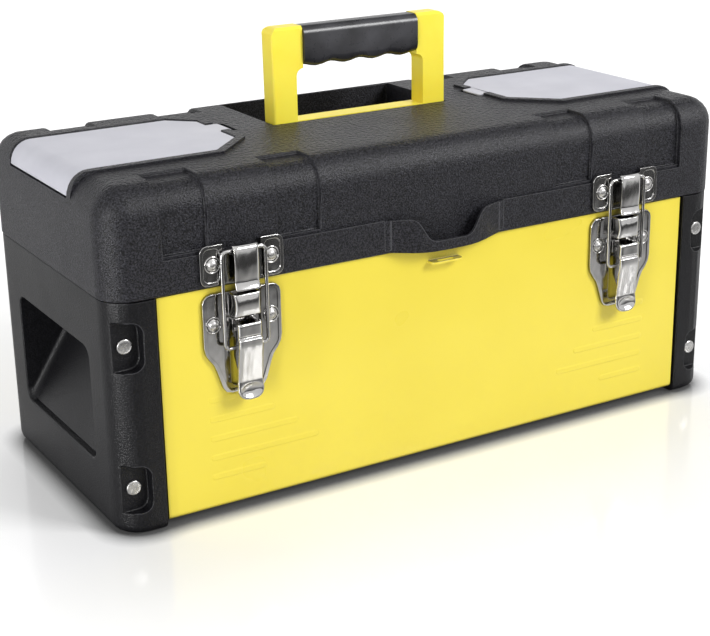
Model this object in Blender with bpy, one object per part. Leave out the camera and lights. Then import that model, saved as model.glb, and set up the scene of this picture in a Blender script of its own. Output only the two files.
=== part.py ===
"""Tool box: a sheet steel tray between two moulded end caps, a moulded organiser lid on two rear hinges,
a folding carry handle and two draw latches. Metres, +Z up, front toward -Y, standing on z = 0. The box is
drawn about its own middle and set so that the origin is below the centre of the whole, latches to hinges."""

import math

import bmesh
import bpy
from mathutils import Vector

for leftover in list(bpy.data.objects):
    bpy.data.objects.remove(leftover)

# Overall sizes and the clearances that pieces share
BOX_LENGTH = 0.510
BOX_DEPTH = 0.216
BASE_HEIGHT = 0.164
LID_HEIGHT = 0.074
GAP = 0.0003
PARTING_GAP = 0.0006

# Sheet steel tray
SHEET = 0.0007
PANEL_STEP = 0.0025
TRAY_FLOOR = 0.0047
TRAY_BEND = 0.0040
TRAY_HEM = 0.0070
JOGGLE_RUN = 0.0012
RIB_LENGTHS = (0.042, 0.084, 0.068, 0.050, 0.022)
RIB_MARGIN = 0.0345
RIB_FIRST = 0.0285
RIB_PITCH = 0.0140
RIB_WIDTH = 0.0050
RIB_PROUD = 0.0003
RIB_CROWN = 0.60
HASP_DROP = 0.0115
HASP_WIDTH = 0.0260
HASP_REACH = 0.0075
HASP_THICK = 0.0016
HASP_SLOT = 0.0140

# Moulded end caps
CAP_WIDTH = 0.0325
CAP_WALL = 0.0025
CAP_CORNER = 0.0200
CAP_EDGE = 0.0070
CAP_INNER_CORNER = 0.0035
GRIP_WIDTH = 0.1330
GRIP_BOTTOM = 0.0420
GRIP_HEIGHT = 0.0820
GRIP_DEPTH = 0.0340
GRIP_SILL = 0.0070
GRIP_SLOPE = 0.0480
GRIP_CORNER = 0.0085
POCKET_DEPTH = 0.0085
POCKET_WIDTH = 0.0225
POCKET_HEIGHT = 0.0340
POCKET_CORNER = 0.0080
CAP_RIVET_INSET = 0.0120
CAP_RIVET_LOW = 0.0334
CAP_RIVET_PITCH = 0.1000
CAP_RIVET_HEAD = 0.0053
CAP_RIVET_SHANK = 0.0022

# Moulded lid
LID_OVERHANG = 0.0005
LID_CORNER = 0.0205
LID_EDGE = 0.0200
LID_WALL = 0.0030
BAND_HEIGHT = 0.0235
BAND_STEP = 0.0020
BLOCK_WIDTH = 0.0395
CHANNEL_DEPTH = 0.0025
CHANNEL_OUTER = (0.1830, 0.2160)
CHANNEL_INNER = (0.0990, 0.1315)
CHANNEL_RUN = 0.0325
LIP_WIDTH = 0.1100
LIP_REACH = 0.0100
LIP_DROP = 0.0020
LIP_WALL = 0.0025
LIP_FLOOR = 0.0045
LIP_FULLNESS = 1.6
LIP_STEPS = 14
SCOOP_TOP = 0.0560
SCOOP_BOTTOM = 0.0340
SCOOP_DEPTH = 0.0185
SCOOP_EASE = 0.0055

# Organiser bins and their hinged covers
COVER_INNER = 0.1180
COVER_FRONT = 0.0480
COVER_BACK = 0.0600
COVER_FRONT_CHAMFER = 0.0285
COVER_BACK_CHAMFER = 0.0175
COVER_THICK = 0.0020
COVER_CLEAR = 0.0004
COVER_DROP = 0.0014
COVER_AXIS_DROP = 0.0003
COVER_STUB = 0.0025
STUB_RADIUS = 0.0008
TAB_FRONT = 0.0040
TAB_WIDTH = 0.0250
TAB_REACH = 0.0105
TAB_FINGER = 0.0040
TAB_THICK = 0.0014
RIM_WIDTH = 0.0070
RIM_HEIGHT = 0.0022
RIM_EDGE = 0.0165
SEAT_WIDTH = 0.0040
BIN_DEPTH = 0.0370
BIN_END_WALL = 0.0065

# Folding handle and its well
HANDLE_Y = 0.0115
HANDLE_WIDTH = 0.1480
HANDLE_THICK = 0.0160
HANDLE_RISE = 0.0690
HANDLE_CORNER = 0.0060
UPRIGHT_WIDTH = 0.0195
HOLD_LENGTH = 0.0980
HOLD_HEIGHT = 0.0305
HOLD_THICK = 0.0205
HOLD_CORNER = 0.0060
HOLD_BUMPS = 4
BUMP_DEPTH = 0.0022
CORE_HEIGHT = 0.0170
CORE_THICK = 0.0100
WELL_CLEAR = 0.0015
WELL_FLOOR_CLEAR = 0.0060
PIVOT_PIN = 0.0025
PIVOT_DEPTH = 0.0110

# Draw latches
LATCH_INSET = 0.0940
PLATE_THICK = 0.0015
PLATE_TOP_DROP = 0.0045
PLATE_WIDTH = 0.0580
PLATE_HEIGHT = 0.0715
PLATE_CORNER = 0.0065
PLATE_SHOULDER = 0.0415
PLATE_WAIST = 0.0440
PLATE_WAIST_RUN = 0.0080
PLATE_FOOT = 0.0300
PLATE_WINDOW = 0.0200
PLATE_FOOT_BAR = 0.0050
PLATE_EASE = 0.0050
RIM_BEAD = 0.0007
BEAD_WIDTH = 0.0024
BRIDGE_DROP = 0.0005
BRIDGE_WIDTH = 0.0200
BRIDGE_HEIGHT = 0.0155
BRIDGE_REACH = 0.0107
BRIDGE_WALL = 0.0013
PIVOT_DROP = 0.0291
PIVOT_REACH = 0.0062
LEVER_PIN = 0.0018
LUG_RADIUS = 0.0043
LUG_THICK = 0.0017
LEVER_WIDTH = 0.0186
LEVER_SHEET = 0.0012
LEVER_CLEAR = 0.0004
LEVER_RISE = 0.0040
LEVER_BEND = 0.0060
LEVER_STEP = 0.0010
LEVER_SHOULDER = 0.0050
LEVER_TUCK = 0.0034
LEVER_FLARE_DROP = 0.0370
LEVER_FLARE = 0.0012
LEVER_DROP = 0.0500
LEVER_CHEEK = 0.0030
LEVER_CHEEK_DROP = 0.0290
LEVER_EASE = 0.0006
TAIL_CORNER = 0.0070
BAIL_WIRE = 0.0026
BAIL_WIDTH = 0.0320
BAIL_BEND = 0.0035
BAIL_CRANK = 0.0134
OVER_CENTRE = 0.0005
KEEPER_THICK = 0.0013
KEEPER_WIDTH = 0.0610
KEEPER_RISE = 0.0020
KEEPER_HEIGHT = 0.0275
KEEPER_CORNER = 0.0050
KEEPER_NOTCH = 0.0280
HOOK_RISE = 0.0228
HOOK_WIDTH = 0.0180
HOOK_CLEAR = 0.0030
HOOK_LIP = 0.0056
HOOK_DROP = 0.0017
HOOK_KICK = 0.0014
HOOK_KICK_RISE = 0.0060
LATCH_RIVET_SPREAD = 0.0430
PLATE_RIVET_DROP = 0.0215
KEEPER_RIVET_RISE = 0.0143
LATCH_RIVET_HEAD = 0.0043
LATCH_RIVET_SHANK = 0.0016

# Rear hinges
HINGE_INSET = 0.1050
HINGE_WIDTH = 0.0450
HINGE_LEAF = 0.0015
HINGE_GAP = 0.0005
KNUCKLE_RADIUS = 0.0032
HINGE_PIN = 0.0016
BASE_LEAF_HEIGHT = 0.0300
LID_LEAF_HEIGHT = 0.0210
LEAF_JOG_DROP = 0.0070
LEAF_JOG_RUN = 0.0040
HINGE_RIVET_SPREAD = 0.0270
HINGE_RIVET_EDGE = 0.0070
HINGE_RIVET_HEAD = 0.0042
HINGE_RIVET_SHANK = 0.0016

# Rivet form: head height, upset tail, and facets
RIVET_RISE = 0.0019
RIVET_TAIL = 0.0012
RIVET_TAIL_SPREAD = 0.0011
RIVET_SIDES = 8
RIVET_BROW = 0.90
RIVET_BROW_RISE = 0.55
RIVET_CROWN = 0.50

# Places that several pieces share
panel_half = BOX_DEPTH / 2 - PANEL_STEP
panel_end = BOX_LENGTH / 2 - CAP_WIDTH
margin_half = BOX_DEPTH / 2 - POCKET_DEPTH - CAP_WALL - GAP
tray_top = BASE_HEIGHT - PARTING_GAP
lid_bottom = BASE_HEIGHT + PARTING_GAP
lid_top = BASE_HEIGHT + LID_HEIGHT
lid_half_x = BOX_LENGTH / 2 + LID_OVERHANG
lid_half_y = BOX_DEPTH / 2 + LID_OVERHANG
lid_inner_y = lid_half_y - BAND_STEP - CHANNEL_DEPTH - LID_WALL
hinge_y = lid_half_y + HINGE_GAP + KNUCKLE_RADIUS
hinge_z = BASE_HEIGHT
handle_z = lid_top - HANDLE_THICK / 2
handle_top = lid_top + HANDLE_RISE
plate_front = -(panel_half + GAP + PLATE_THICK)
plate_top = BASE_HEIGHT - PLATE_TOP_DROP
lever_y = plate_front - PIVOT_REACH
lever_z = BASE_HEIGHT - PIVOT_DROP
bail_y = lever_y + OVER_CENTRE
bail_z = lever_z - BAIL_CRANK
hook_top = BASE_HEIGHT + HOOK_RISE
bail_top = hook_top + GAP + BAIL_WIRE / 2
lever_front = lever_y - LUG_RADIUS - LEVER_CLEAR - LEVER_STEP - LEVER_SHEET
hinge_rear = hinge_y + KNUCKLE_RADIUS
cover_axis_x = lid_half_x - COVER_DROP - COVER_THICK / 2
cover_axis_z = lid_top + RIM_HEIGHT - RIM_EDGE - COVER_AXIS_DROP
latch_x = BOX_LENGTH / 2 - LATCH_INSET
hinge_x = BOX_LENGTH / 2 - HINGE_INSET

box = bpy.data.objects.new("tool_box", None)
box.location.y = -(lever_front + hinge_rear) / 2
bpy.context.scene.collection.objects.link(box)


def arc(across, up, radius, start, stop, steps=5, tall=None):
    """Points of an arc from start to stop degrees; tall gives an ellipse its second radius."""
    tall = radius if tall is None else tall
    turns = [math.radians(start + (stop - start) * k / steps) for k in range(steps + 1)]
    return [(across + radius * math.cos(a), up + tall * math.sin(a)) for a in turns]


def rounded(left, right, low, high, radius, steps=5):
    """Outline of a rectangle with round corners, limited by its short side."""
    radius = min(radius, 0.49 * (right - left), 0.49 * (high - low))
    corners = (
        (right - radius, low + radius, -90),
        (right - radius, high - radius, 0),
        (left + radius, high - radius, 90),
        (left + radius, low + radius, 180),
    )
    return [p for a, b, turn in corners for p in arc(a, b, radius, turn, turn + 90, steps)]


def loft(rings):
    """A closed solid through rings of matching points."""
    solid = bmesh.new()
    rows = [[solid.verts.new(point) for point in ring] for ring in rings]
    for row, following in zip(rows, rows[1:]):
        for k, corner in enumerate(row):
            n = (k + 1) % len(row)
            solid.faces.new((corner, row[n], following[n], following[k]))
    solid.faces.new(rows[0][::-1])
    solid.faces.new(rows[-1])
    bmesh.ops.recalc_face_normals(solid, faces=solid.faces)
    return solid


def prism(outline, axis, start, stop):
    """An outline drawn straight along X, Y or Z."""
    place = {
        "X": lambda a, b, c: (c, a, b),
        "Y": lambda a, b, c: (a, c, b),
        "Z": lambda a, b, c: (a, b, c),
    }[axis]
    return loft([[place(a, b, c) for a, b in outline] for c in (start, stop)])


def block(left, right, front, back, low, high):
    return prism([(left, front), (right, front), (right, back), (left, back)], "Z", low, high)


def rod(across, up, radius, axis, start, stop, sides=16):
    circle = arc(across, up, radius, 0, 360 - 360 / sides, sides - 1)
    return prism(circle, axis, start, stop)


def mirrored(outline):
    return [(-a, b) for a, b in reversed(outline)]


def eased(line, run, steps=3):
    """The same line with each inner corner turned into a curve that starts run before it."""
    points = [Vector(point) for point in line]
    bent = [tuple(points[0])]
    for before, corner, after in zip(points, points[1:], points[2:]):
        start = corner + (before - corner).normalized() * run
        stop = corner + (after - corner).normalized() * run
        for k in range(steps + 1):
            t = k / steps
            bent.append(tuple(start.lerp(corner, t).lerp(corner.lerp(stop, t), t)))
    return bent + [tuple(points[-1])]


def folded(line, thick):
    """The outline of a bent sheet whose middle follows a line."""
    points = [Vector(point) for point in line]
    outer = []
    inner = []
    for k, point in enumerate(points):
        along = (points[min(k + 1, len(points) - 1)] - points[max(k - 1, 0)]).normalized()
        square = Vector((-along.y, along.x)) * thick / 2
        outer.append(tuple(point + square))
        inner.append(tuple(point - square))
    return outer + inner[::-1]


def gathered(solids):
    """Several separate solids in one mesh."""
    first, *rest = solids
    for other in rest:
        carrier = bpy.data.meshes.new("carrier")
        other.to_mesh(carrier)
        other.free()
        first.from_mesh(carrier)
        bpy.data.meshes.remove(carrier)
    return first


def finish(name, colour, roughness, metallic=0.0):
    made = bpy.data.materials.new(name)
    made.use_nodes = True
    shader = made.node_tree.nodes["Principled BSDF"]
    shader.inputs["Base Color"].default_value = (*colour, 1.0)
    shader.inputs["Roughness"].default_value = roughness
    shader.inputs["Metallic"].default_value = metallic
    return made


def piece(name, solid, look, pivot=(0.0, 0.0, 0.0)):
    """An object with its origin at the pivot and its solid where it was drawn."""
    bmesh.ops.translate(solid, verts=solid.verts, vec=-Vector(pivot))
    mesh = bpy.data.meshes.new(name)
    solid.to_mesh(mesh)
    solid.free()
    mesh.shade_smooth()
    mesh.set_sharp_from_angle(angle=math.radians(35))
    made = bpy.data.objects.new(name, mesh)
    made.location = pivot
    made.parent = box
    if look:
        mesh.materials.append(look)
    bpy.context.scene.collection.objects.link(made)
    return made


def shaped(target, operation, solid):
    """Cuts, joins or trims the target with a solid that stays as a hidden helper."""
    helper = piece(f"{target.name}_shape_{len(target.modifiers)}", solid, None)
    helper.hide_render = True
    helper.display_type = "WIRE"
    step = target.modifiers.new(helper.name, "BOOLEAN")
    step.operation = operation
    step.object = helper
    return helper


def rivet(name, x, z, seat, back, head, shank):
    """A round-headed rivet along Y: the head outside the seat, the upset tail inside the back face."""
    out = 1.0 if seat > back else -1.0
    tail = shank + RIVET_TAIL_SPREAD
    profile = (
        (tail, back - out * (GAP + RIVET_TAIL)),
        (tail, back - out * GAP),
        (shank, back - out * GAP),
        (shank, seat + out * GAP),
        (head, seat + out * GAP),
        (head * RIVET_BROW, seat + out * (GAP + RIVET_RISE * RIVET_BROW_RISE)),
        (head * RIVET_CROWN, seat + out * (GAP + RIVET_RISE)),
    )
    rings = []
    for radius, y in profile:
        ring = arc(x, z, radius, 0, 360 - 360 / RIVET_SIDES, RIVET_SIDES - 1)
        rings.append([(a, y, b) for a, b in ring])
    return piece(name, loft(rings), rivet_look)


def rivet_hole(x, z, shank, front, back):
    return rod(x, z, shank + GAP, "Y", front, back, RIVET_SIDES)


yellow_paint = finish("yellow_paint", (0.90, 0.74, 0.06), 0.32)
yellow_plastic = finish("yellow_plastic", (0.98, 0.74, 0.05), 0.38)
dark_plastic = finish("dark_plastic", (0.036, 0.038, 0.043), 0.62)
milky_plastic = finish("milky_plastic", (0.62, 0.62, 0.69), 0.35)
grip_rubber = finish("grip_rubber", (0.012, 0.012, 0.013), 0.70)
bright_steel = finish("bright_steel", (0.66, 0.66, 0.67), 0.18, 1.0)
hinge_steel = finish("hinge_steel", (0.46, 0.46, 0.47), 0.34, 1.0)
rivet_look = finish("rivet_steel", (0.60, 0.60, 0.61), 0.30, 1.0)


# Tray: one bent sheet with hemmed top edges; its ends step in behind the caps' flanges.
def tray_section(half):
    """The U section, hem to hem, for one half depth."""
    bend = TRAY_BEND
    inner = bend - SHEET
    sill = TRAY_FLOOR + bend
    outside = arc(-half + bend, sill, bend, 180, 270) + arc(half - bend, sill, bend, 270, 360)
    inside = arc(half - bend, sill, inner, 360, 270) + arc(-half + bend, sill, inner, 270, 180)
    right_hem = [
        (half, tray_top),
        (half - TRAY_HEM, tray_top),
        (half - TRAY_HEM, tray_top - SHEET),
        (half - SHEET, tray_top - SHEET),
    ]
    left_hem = [(-y, z) for y, z in reversed(right_hem)]
    return outside + right_hem + inside + left_hem


margin_end = BOX_LENGTH / 2 - CAP_WALL - CAP_INNER_CORNER - GAP
tray_stations = (
    (-margin_end, margin_half),
    (-panel_end + GAP, margin_half),
    (-panel_end + GAP + JOGGLE_RUN, panel_half),
    (panel_end - GAP - JOGGLE_RUN, panel_half),
    (panel_end - GAP, margin_half),
    (margin_end, margin_half),
)
tray_rings = [[(x, y, z) for y, z in tray_section(half)] for x, half in tray_stations]
tray = piece("body_tray", loft(tray_rings), yellow_paint)

ribs = []
for k, length in enumerate(RIB_LENGTHS):
    low = RIB_FIRST + k * RIB_PITCH - RIB_WIDTH / 2
    tip = panel_end - RIB_MARGIN
    bar = rounded(tip - length, tip, low, low + RIB_WIDTH, RIB_WIDTH / 2, 2)
    for outline in (bar, mirrored(bar)):
        base = [(x, -panel_half + SHEET / 2, z) for x, z in outline]
        middle = [(x, -panel_half, z) for x, z in outline]
        centre_z = low + RIB_WIDTH / 2
        ends = sorted(x for x, z in outline)
        crown = []
        for x, z in outline:
            core = min(max(x, ends[0] + RIB_WIDTH / 2), ends[-1] - RIB_WIDTH / 2)
            crown_x = core + (x - core) * RIB_CROWN
            crown_z = centre_z + (z - centre_z) * RIB_CROWN
            crown.append((crown_x, -panel_half - RIB_PROUD, crown_z))
        ribs.append(loft([base, middle, crown]))
shaped(tray, "UNION", gathered(ribs))

hasp_z = BASE_HEIGHT - HASP_DROP
hasp_tip = -panel_half - HASP_REACH
hasp_front = rounded(-HASP_WIDTH / 2, HASP_WIDTH / 2, hasp_tip, -panel_half, HASP_REACH * 0.45, 4)
hasp_back = [(x, y if y < -panel_half - HASP_REACH / 2 else -panel_half + SHEET / 2) for x, y in hasp_front]
shaped(tray, "UNION", prism(hasp_back, "Z", hasp_z - HASP_THICK, hasp_z))
hasp_slot = rounded(
    -HASP_SLOT / 2, HASP_SLOT / 2, hasp_tip + HASP_REACH * 0.25, hasp_tip + HASP_REACH * 0.70, 0.001, 3
)
shaped(tray, "DIFFERENCE", prism(hasp_slot, "Z", hasp_z - 2 * HASP_THICK, hasp_z + HASP_THICK))


# End caps: moulded shells with a sloping hand-grip recess and a rivet pocket near each corner.
def cap_outline(inset):
    """Plan of the right-hand cap, drawn in on its three outer sides."""
    end = BOX_LENGTH / 2 - inset
    half = BOX_DEPTH / 2 - inset
    radius = CAP_CORNER - inset
    front = arc(end - radius, -half + radius, radius, -90, 0)
    back = arc(end - radius, half - radius, radius, 0, 90)
    return [(panel_end, -half)] + front + back + [(panel_end, half)]


def grip_ring(inward, rise, grow):
    """The hand-grip's outline at one depth; rise lifts its sill and grow widens it all round."""
    low = GRIP_BOTTOM + rise - grow
    high = GRIP_BOTTOM + GRIP_HEIGHT + grow
    half = GRIP_WIDTH / 2 + grow
    outline = rounded(-half, half, low, high, GRIP_CORNER, 3)
    return [(BOX_LENGTH / 2 - inward, y, z) for y, z in outline]


cap_rivet_x = BOX_LENGTH / 2 - CAP_RIVET_INSET
cap_rivet_heights = (CAP_RIVET_LOW, CAP_RIVET_LOW + CAP_RIVET_PITCH)
pocket_floor = BOX_DEPTH / 2 - POCKET_DEPTH

for side, label in ((-1, "left"), (1, "right")):

    def turned(rings):
        return [[(side * x, y, z) for x, y, z in ring] for ring in rings]

    rings = []
    for k in range(5):
        turn = math.radians(22.5 * k)
        inset = CAP_EDGE * (1 - math.sin(turn))
        rings.append([(x, y, CAP_EDGE * (1 - math.cos(turn))) for x, y in cap_outline(inset)])
    rings.append([(x, y, BASE_HEIGHT - SHEET) for x, y in cap_outline(0)])
    rings.append([(x, y, BASE_HEIGHT) for x, y in cap_outline(SHEET / 2)])
    cap = piece(f"{label}_end_cap", loft(turned(rings)), dark_plastic)

    inside_end = BOX_LENGTH / 2 - CAP_WALL
    inside_half = margin_half + GAP
    inside = rounded(panel_end - inside_end, inside_end, -inside_half, inside_half, CAP_INNER_CORNER, 3)
    levels = (TRAY_FLOOR - GAP, BASE_HEIGHT + CAP_WALL)
    shaped(cap, "DIFFERENCE", loft(turned([[(x, y, z) for x, y in inside] for z in levels])))

    housing = (
        grip_ring(CAP_WALL / 2, 0, CAP_WALL),
        grip_ring(GRIP_SILL, 0, CAP_WALL),
        grip_ring(GRIP_DEPTH + CAP_WALL, GRIP_SLOPE, CAP_WALL),
    )
    shaped(cap, "UNION", loft(turned(housing)))
    recess = (
        grip_ring(-CAP_WALL, 0, 0),
        grip_ring(GRIP_SILL - CAP_WALL, 0.002, 0),
        grip_ring(GRIP_DEPTH, GRIP_SLOPE, 0),
    )
    shaped(cap, "DIFFERENCE", loft(turned(recess)))

    pockets = []
    holes = []
    for z in cap_rivet_heights:
        inner = BOX_LENGTH / 2 - POCKET_WIDTH
        reach = POCKET_HEIGHT / 2
        outline = rounded(inner, inner + 2 * POCKET_WIDTH, z - reach, z + reach, POCKET_CORNER)
        outline = outline if side > 0 else mirrored(outline)
        for face in (-1, 1):
            pockets.append(prism(outline, "Y", face * pocket_floor, face * (pocket_floor + 2 * POCKET_DEPTH)))
            holes.append(
                rivet_hole(
                    side * cap_rivet_x,
                    z,
                    CAP_RIVET_SHANK,
                    face * (margin_half - TRAY_HEM / 2),
                    face * (pocket_floor + POCKET_DEPTH / 2),
                )
            )
    shaped(cap, "DIFFERENCE", gathered(pockets))
    drilled = shaped(cap, "DIFFERENCE", gathered(holes))
    step = tray.modifiers.new(drilled.name, "BOOLEAN")
    step.operation = "DIFFERENCE"
    step.object = drilled

    for face, place in ((-1, "front"), (1, "rear")):
        for z, level in zip(cap_rivet_heights, ("lower", "upper")):
            rivet(
                f"cap_rivet_{label}_{place}_{level}",
                side * cap_rivet_x,
                z,
                face * pocket_floor,
                face * (margin_half - SHEET),
                CAP_RIVET_HEAD,
                CAP_RIVET_SHANK,
            )


# Lid: a rounded moulded shell, open below, with bins at both ends, a handle well and a lift lip.
def lid_ring(inset, z, corner=LID_CORNER):
    half_x = lid_half_x - inset
    half_y = lid_half_y - inset
    radius = max(corner - inset, 0.0004)
    return [(x, y, z) for x, y in rounded(-half_x, half_x, -half_y, half_y, radius, 5)]


def domed(bottom, top, inset, edge):
    """A rounded block whose top edge turns over with the given radius."""
    rings = [lid_ring(inset, bottom)]
    for k in range(7):
        turn = math.radians(15 * k)
        rings.append(lid_ring(inset + edge * (1 - math.cos(turn)), top - edge * (1 - math.sin(turn))))
    return loft(rings)


def cover_plan(grow, outer):
    """Plan of the right-hand cover's outline, widened by grow, out to a given x."""
    inner = COVER_INNER - grow
    front = -COVER_FRONT - grow
    back = COVER_BACK + grow
    widen = grow * (2 - math.sqrt(2))
    cut_front = COVER_FRONT_CHAMFER + widen
    cut_back = COVER_BACK_CHAMFER + widen
    return [
        (outer, front),
        (outer, back),
        (inner + cut_back, back),
        (inner, back - cut_back),
        (inner, front + cut_front),
        (inner + cut_front, front),
    ]


def end_profile(inset, foot, start):
    """The lid's end rounding with its rim, set in by inset, from x = start down to z = foot."""
    radius = RIM_EDGE - inset
    bend_x = lid_half_x - RIM_EDGE
    bend_z = lid_top + RIM_HEIGHT - RIM_EDGE
    return [(start, bend_z + radius)] + arc(bend_x, bend_z, radius, 90, 0, 7) + [(lid_half_x - inset, foot)]


def sided(outline, side):
    return outline if side > 0 else mirrored(outline)


lid = piece("lid_shell", domed(lid_bottom, lid_top, 0, LID_EDGE), dark_plastic, (0, hinge_y, hinge_z))
beyond = lid_half_x + LID_EDGE
above = lid_top + LID_EDGE

for side in (-1, 1):
    rim_plan = sided(cover_plan(RIM_WIDTH, lid_half_x - LID_OVERHANG), side)
    rim = shaped(lid, "UNION", prism(rim_plan, "Z", lid_top - LID_EDGE * 0.8, above))
    start = COVER_INNER - 2 * RIM_WIDTH
    foot = lid_top - LID_EDGE
    crest = [(start, foot)] + end_profile(LID_OVERHANG, foot, start)
    shaped(rim, "INTERSECT", prism(sided(crest, side), "Y", -lid_half_y, lid_half_y))

upper_cuts = []
channel_cuts = []
ledge_z = lid_bottom + BAND_HEIGHT
bend_y = lid_half_y - LID_EDGE
bend_z = lid_top - LID_EDGE
upper_end = lid_half_x - BLOCK_WIDTH
upper_edge = [(lid_half_y - BAND_STEP, ledge_z)]
upper_edge += arc(bend_y, bend_z, LID_EDGE - BAND_STEP, 0, 90, 7, LID_EDGE)
upper_edge += [(bend_y, above), (lid_half_y + LID_EDGE, above), (lid_half_y + LID_EDGE, ledge_z)]
floor_in = BAND_STEP + CHANNEL_DEPTH
channel_edge = [(lid_half_y - floor_in, ledge_z + BAND_STEP)]
channel_edge += arc(bend_y, bend_z, LID_EDGE - floor_in, 0, 90, 7, LID_EDGE - CHANNEL_DEPTH)
channel_edge += [(lid_half_y - CHANNEL_RUN, lid_top - CHANNEL_DEPTH), (lid_half_y - CHANNEL_RUN, above)]
channel_edge += [(lid_half_y + LID_EDGE, above), (lid_half_y + LID_EDGE, ledge_z + BAND_STEP)]
for face in (-1, 1):
    upper = upper_edge if face > 0 else mirrored(upper_edge)
    channel = channel_edge if face > 0 else mirrored(channel_edge)
    upper_cuts.append(prism(upper, "X", -upper_end, upper_end))
    for near, far in (CHANNEL_OUTER, CHANNEL_INNER):
        channel_cuts.append(prism(channel, "X", near, far))
        channel_cuts.append(prism(channel, "X", -far, -near))
shaped(lid, "DIFFERENCE", gathered(upper_cuts))
shaped(lid, "DIFFERENCE", gathered(channel_cuts))


def lip_swell(x, half):
    """How far the lift lip bows out at x, from 0 at its ends to 1 in the middle."""
    return 0.5 * (1 + math.cos(math.pi * min(1.0, abs(x) / half) ** LIP_FULLNESS))


lip_low = BASE_HEIGHT - LIP_DROP
lip_back = -lid_half_y + BAND_STEP
lip_root = lid_bottom + GAP
lip_half = LIP_WIDTH / 2
lip_crest = ledge_z - GAP
lip_rings = []
for k in range(LIP_STEPS + 1):
    x = lip_half * (2 * k / LIP_STEPS - 1)
    swell = lip_swell(x, lip_half)
    face = -lid_half_y + LID_OVERHANG - LIP_REACH * swell
    foot = lip_root - (lip_root - lip_low) * swell
    section = ((lip_back, lip_crest), (face, lip_crest), (face, foot), (lip_back, foot))
    lip_rings.append([(x, y, z) for y, z in section])
shaped(lid, "UNION", loft(lip_rings))

well_half = HANDLE_WIDTH / 2 + WELL_CLEAR
well_front = HANDLE_Y - HANDLE_THICK / 2 - WELL_CLEAR
well_back = HANDLE_Y + handle_top - handle_z + WELL_CLEAR
well_floor = handle_z - HOLD_THICK / 2 - WELL_FLOOR_CLEAR
bin_floor = lid_top - BIN_DEPTH
bin_outer = lid_half_x - BIN_END_WALL

hollow_top = lid_top - CHANNEL_DEPTH - LID_WALL
hollow_inset = lid_half_y - lid_inner_y
hollow_dome = domed(lid_bottom - LID_WALL, hollow_top, hollow_inset, LID_EDGE - hollow_inset)
hollow = shaped(lid, "DIFFERENCE", hollow_dome)
housings = [
    block(
        -well_half - LID_WALL,
        well_half + LID_WALL,
        well_front - LID_WALL,
        well_back + LID_WALL,
        well_floor - LID_WALL,
        above,
    )
]
for side in (-1, 1):
    around_bin = sided(cover_plan(LID_WALL - SEAT_WIDTH, beyond), side)
    housings.append(prism(around_bin, "Z", bin_floor - LID_WALL, above))
shaped(hollow, "DIFFERENCE", gathered(housings))

shaped(lid, "DIFFERENCE", block(-well_half, well_half, well_front, well_back, well_floor, above))
bins = [prism(sided(cover_plan(-SEAT_WIDTH, bin_outer), side), "Z", bin_floor, above) for side in (-1, 1)]
shaped(lid, "DIFFERENCE", gathered(bins))

seat_foot = cover_axis_z - COVER_THICK / 2 - 2 * COVER_CLEAR
under = COVER_DROP + COVER_THICK + COVER_CLEAR
cover_low = lid_top + RIM_HEIGHT - COVER_DROP - COVER_THICK
tab_back = TAB_FRONT + TAB_WIDTH
for side in (-1, 1):
    seat_start = COVER_INNER - 2 * COVER_CLEAR
    seat = end_profile(under, seat_foot, seat_start)
    seat += [(beyond, seat_foot), (beyond, above), (seat_start, above)]
    seat_cut = shaped(lid, "DIFFERENCE", prism(sided(seat, side), "Y", -lid_half_y, lid_half_y))
    seat_plan = sided(cover_plan(COVER_CLEAR, beyond + COVER_CLEAR), side)
    shaped(seat_cut, "INTERSECT", prism(seat_plan, "Z", bin_floor, above + LID_EDGE))
    notch = (
        (COVER_INNER - TAB_REACH - TAB_FINGER, TAB_FRONT - COVER_CLEAR),
        (COVER_INNER + SEAT_WIDTH / 2, TAB_FRONT - COVER_CLEAR),
        (COVER_INNER + SEAT_WIDTH / 2, tab_back + COVER_CLEAR),
        (COVER_INNER - TAB_REACH - TAB_FINGER, tab_back + COVER_CLEAR),
    )
    shaped(lid, "DIFFERENCE", prism(sided(list(notch), side), "Z", cover_low - COVER_CLEAR, above))
    socket_front = -COVER_FRONT - COVER_STUB - GAP
    socket_back = COVER_BACK + COVER_STUB + GAP
    socket = rod(side * cover_axis_x, cover_axis_z, STUB_RADIUS + GAP, "Y", socket_front, socket_back, 12)
    shaped(lid, "DIFFERENCE", socket)

pocket_floor_z = lip_low + LIP_FLOOR
pocket_half = lip_half - 2 * LIP_WALL
lip_inner = [(pocket_half, lip_back), (-pocket_half, lip_back)]
for k in range(LIP_STEPS + 1):
    x = pocket_half * (2 * k / LIP_STEPS - 1)
    lip_inner.append((x, -lid_half_y - (LIP_REACH - LIP_WALL) * lip_swell(x, pocket_half)))
shaped(lid, "DIFFERENCE", prism(lip_inner, "Z", pocket_floor_z, ledge_z + BAND_STEP))
scoop_low = ledge_z - SCOOP_DEPTH
scoop_end = lip_half + LIP_WALL
scoop_rim = lip_crest - GAP
scoop = [
    (-scoop_end, scoop_rim),
    (-SCOOP_TOP / 2, scoop_rim),
    (-SCOOP_BOTTOM / 2, scoop_low),
    (SCOOP_BOTTOM / 2, scoop_low),
    (SCOOP_TOP / 2, scoop_rim),
    (scoop_end, scoop_rim),
]
scoop = eased(scoop, SCOOP_EASE) + [(scoop_end, ledge_z + BAND_STEP), (-scoop_end, ledge_z + BAND_STEP)]
scoop_cut = prism(scoop, "Y", -lid_half_y - 2 * LIP_REACH, -lid_half_y - LIP_WALL / 2)
shaped(lid, "DIFFERENCE", scoop_cut)
slot_front = hasp_tip + HASP_REACH * 0.20
slot_back = hasp_tip + HASP_REACH * 0.75
lip_slot = rounded(-HASP_SLOT / 2, HASP_SLOT / 2, slot_front, min(slot_back, lip_back - GAP), 0.001, 3)
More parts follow.
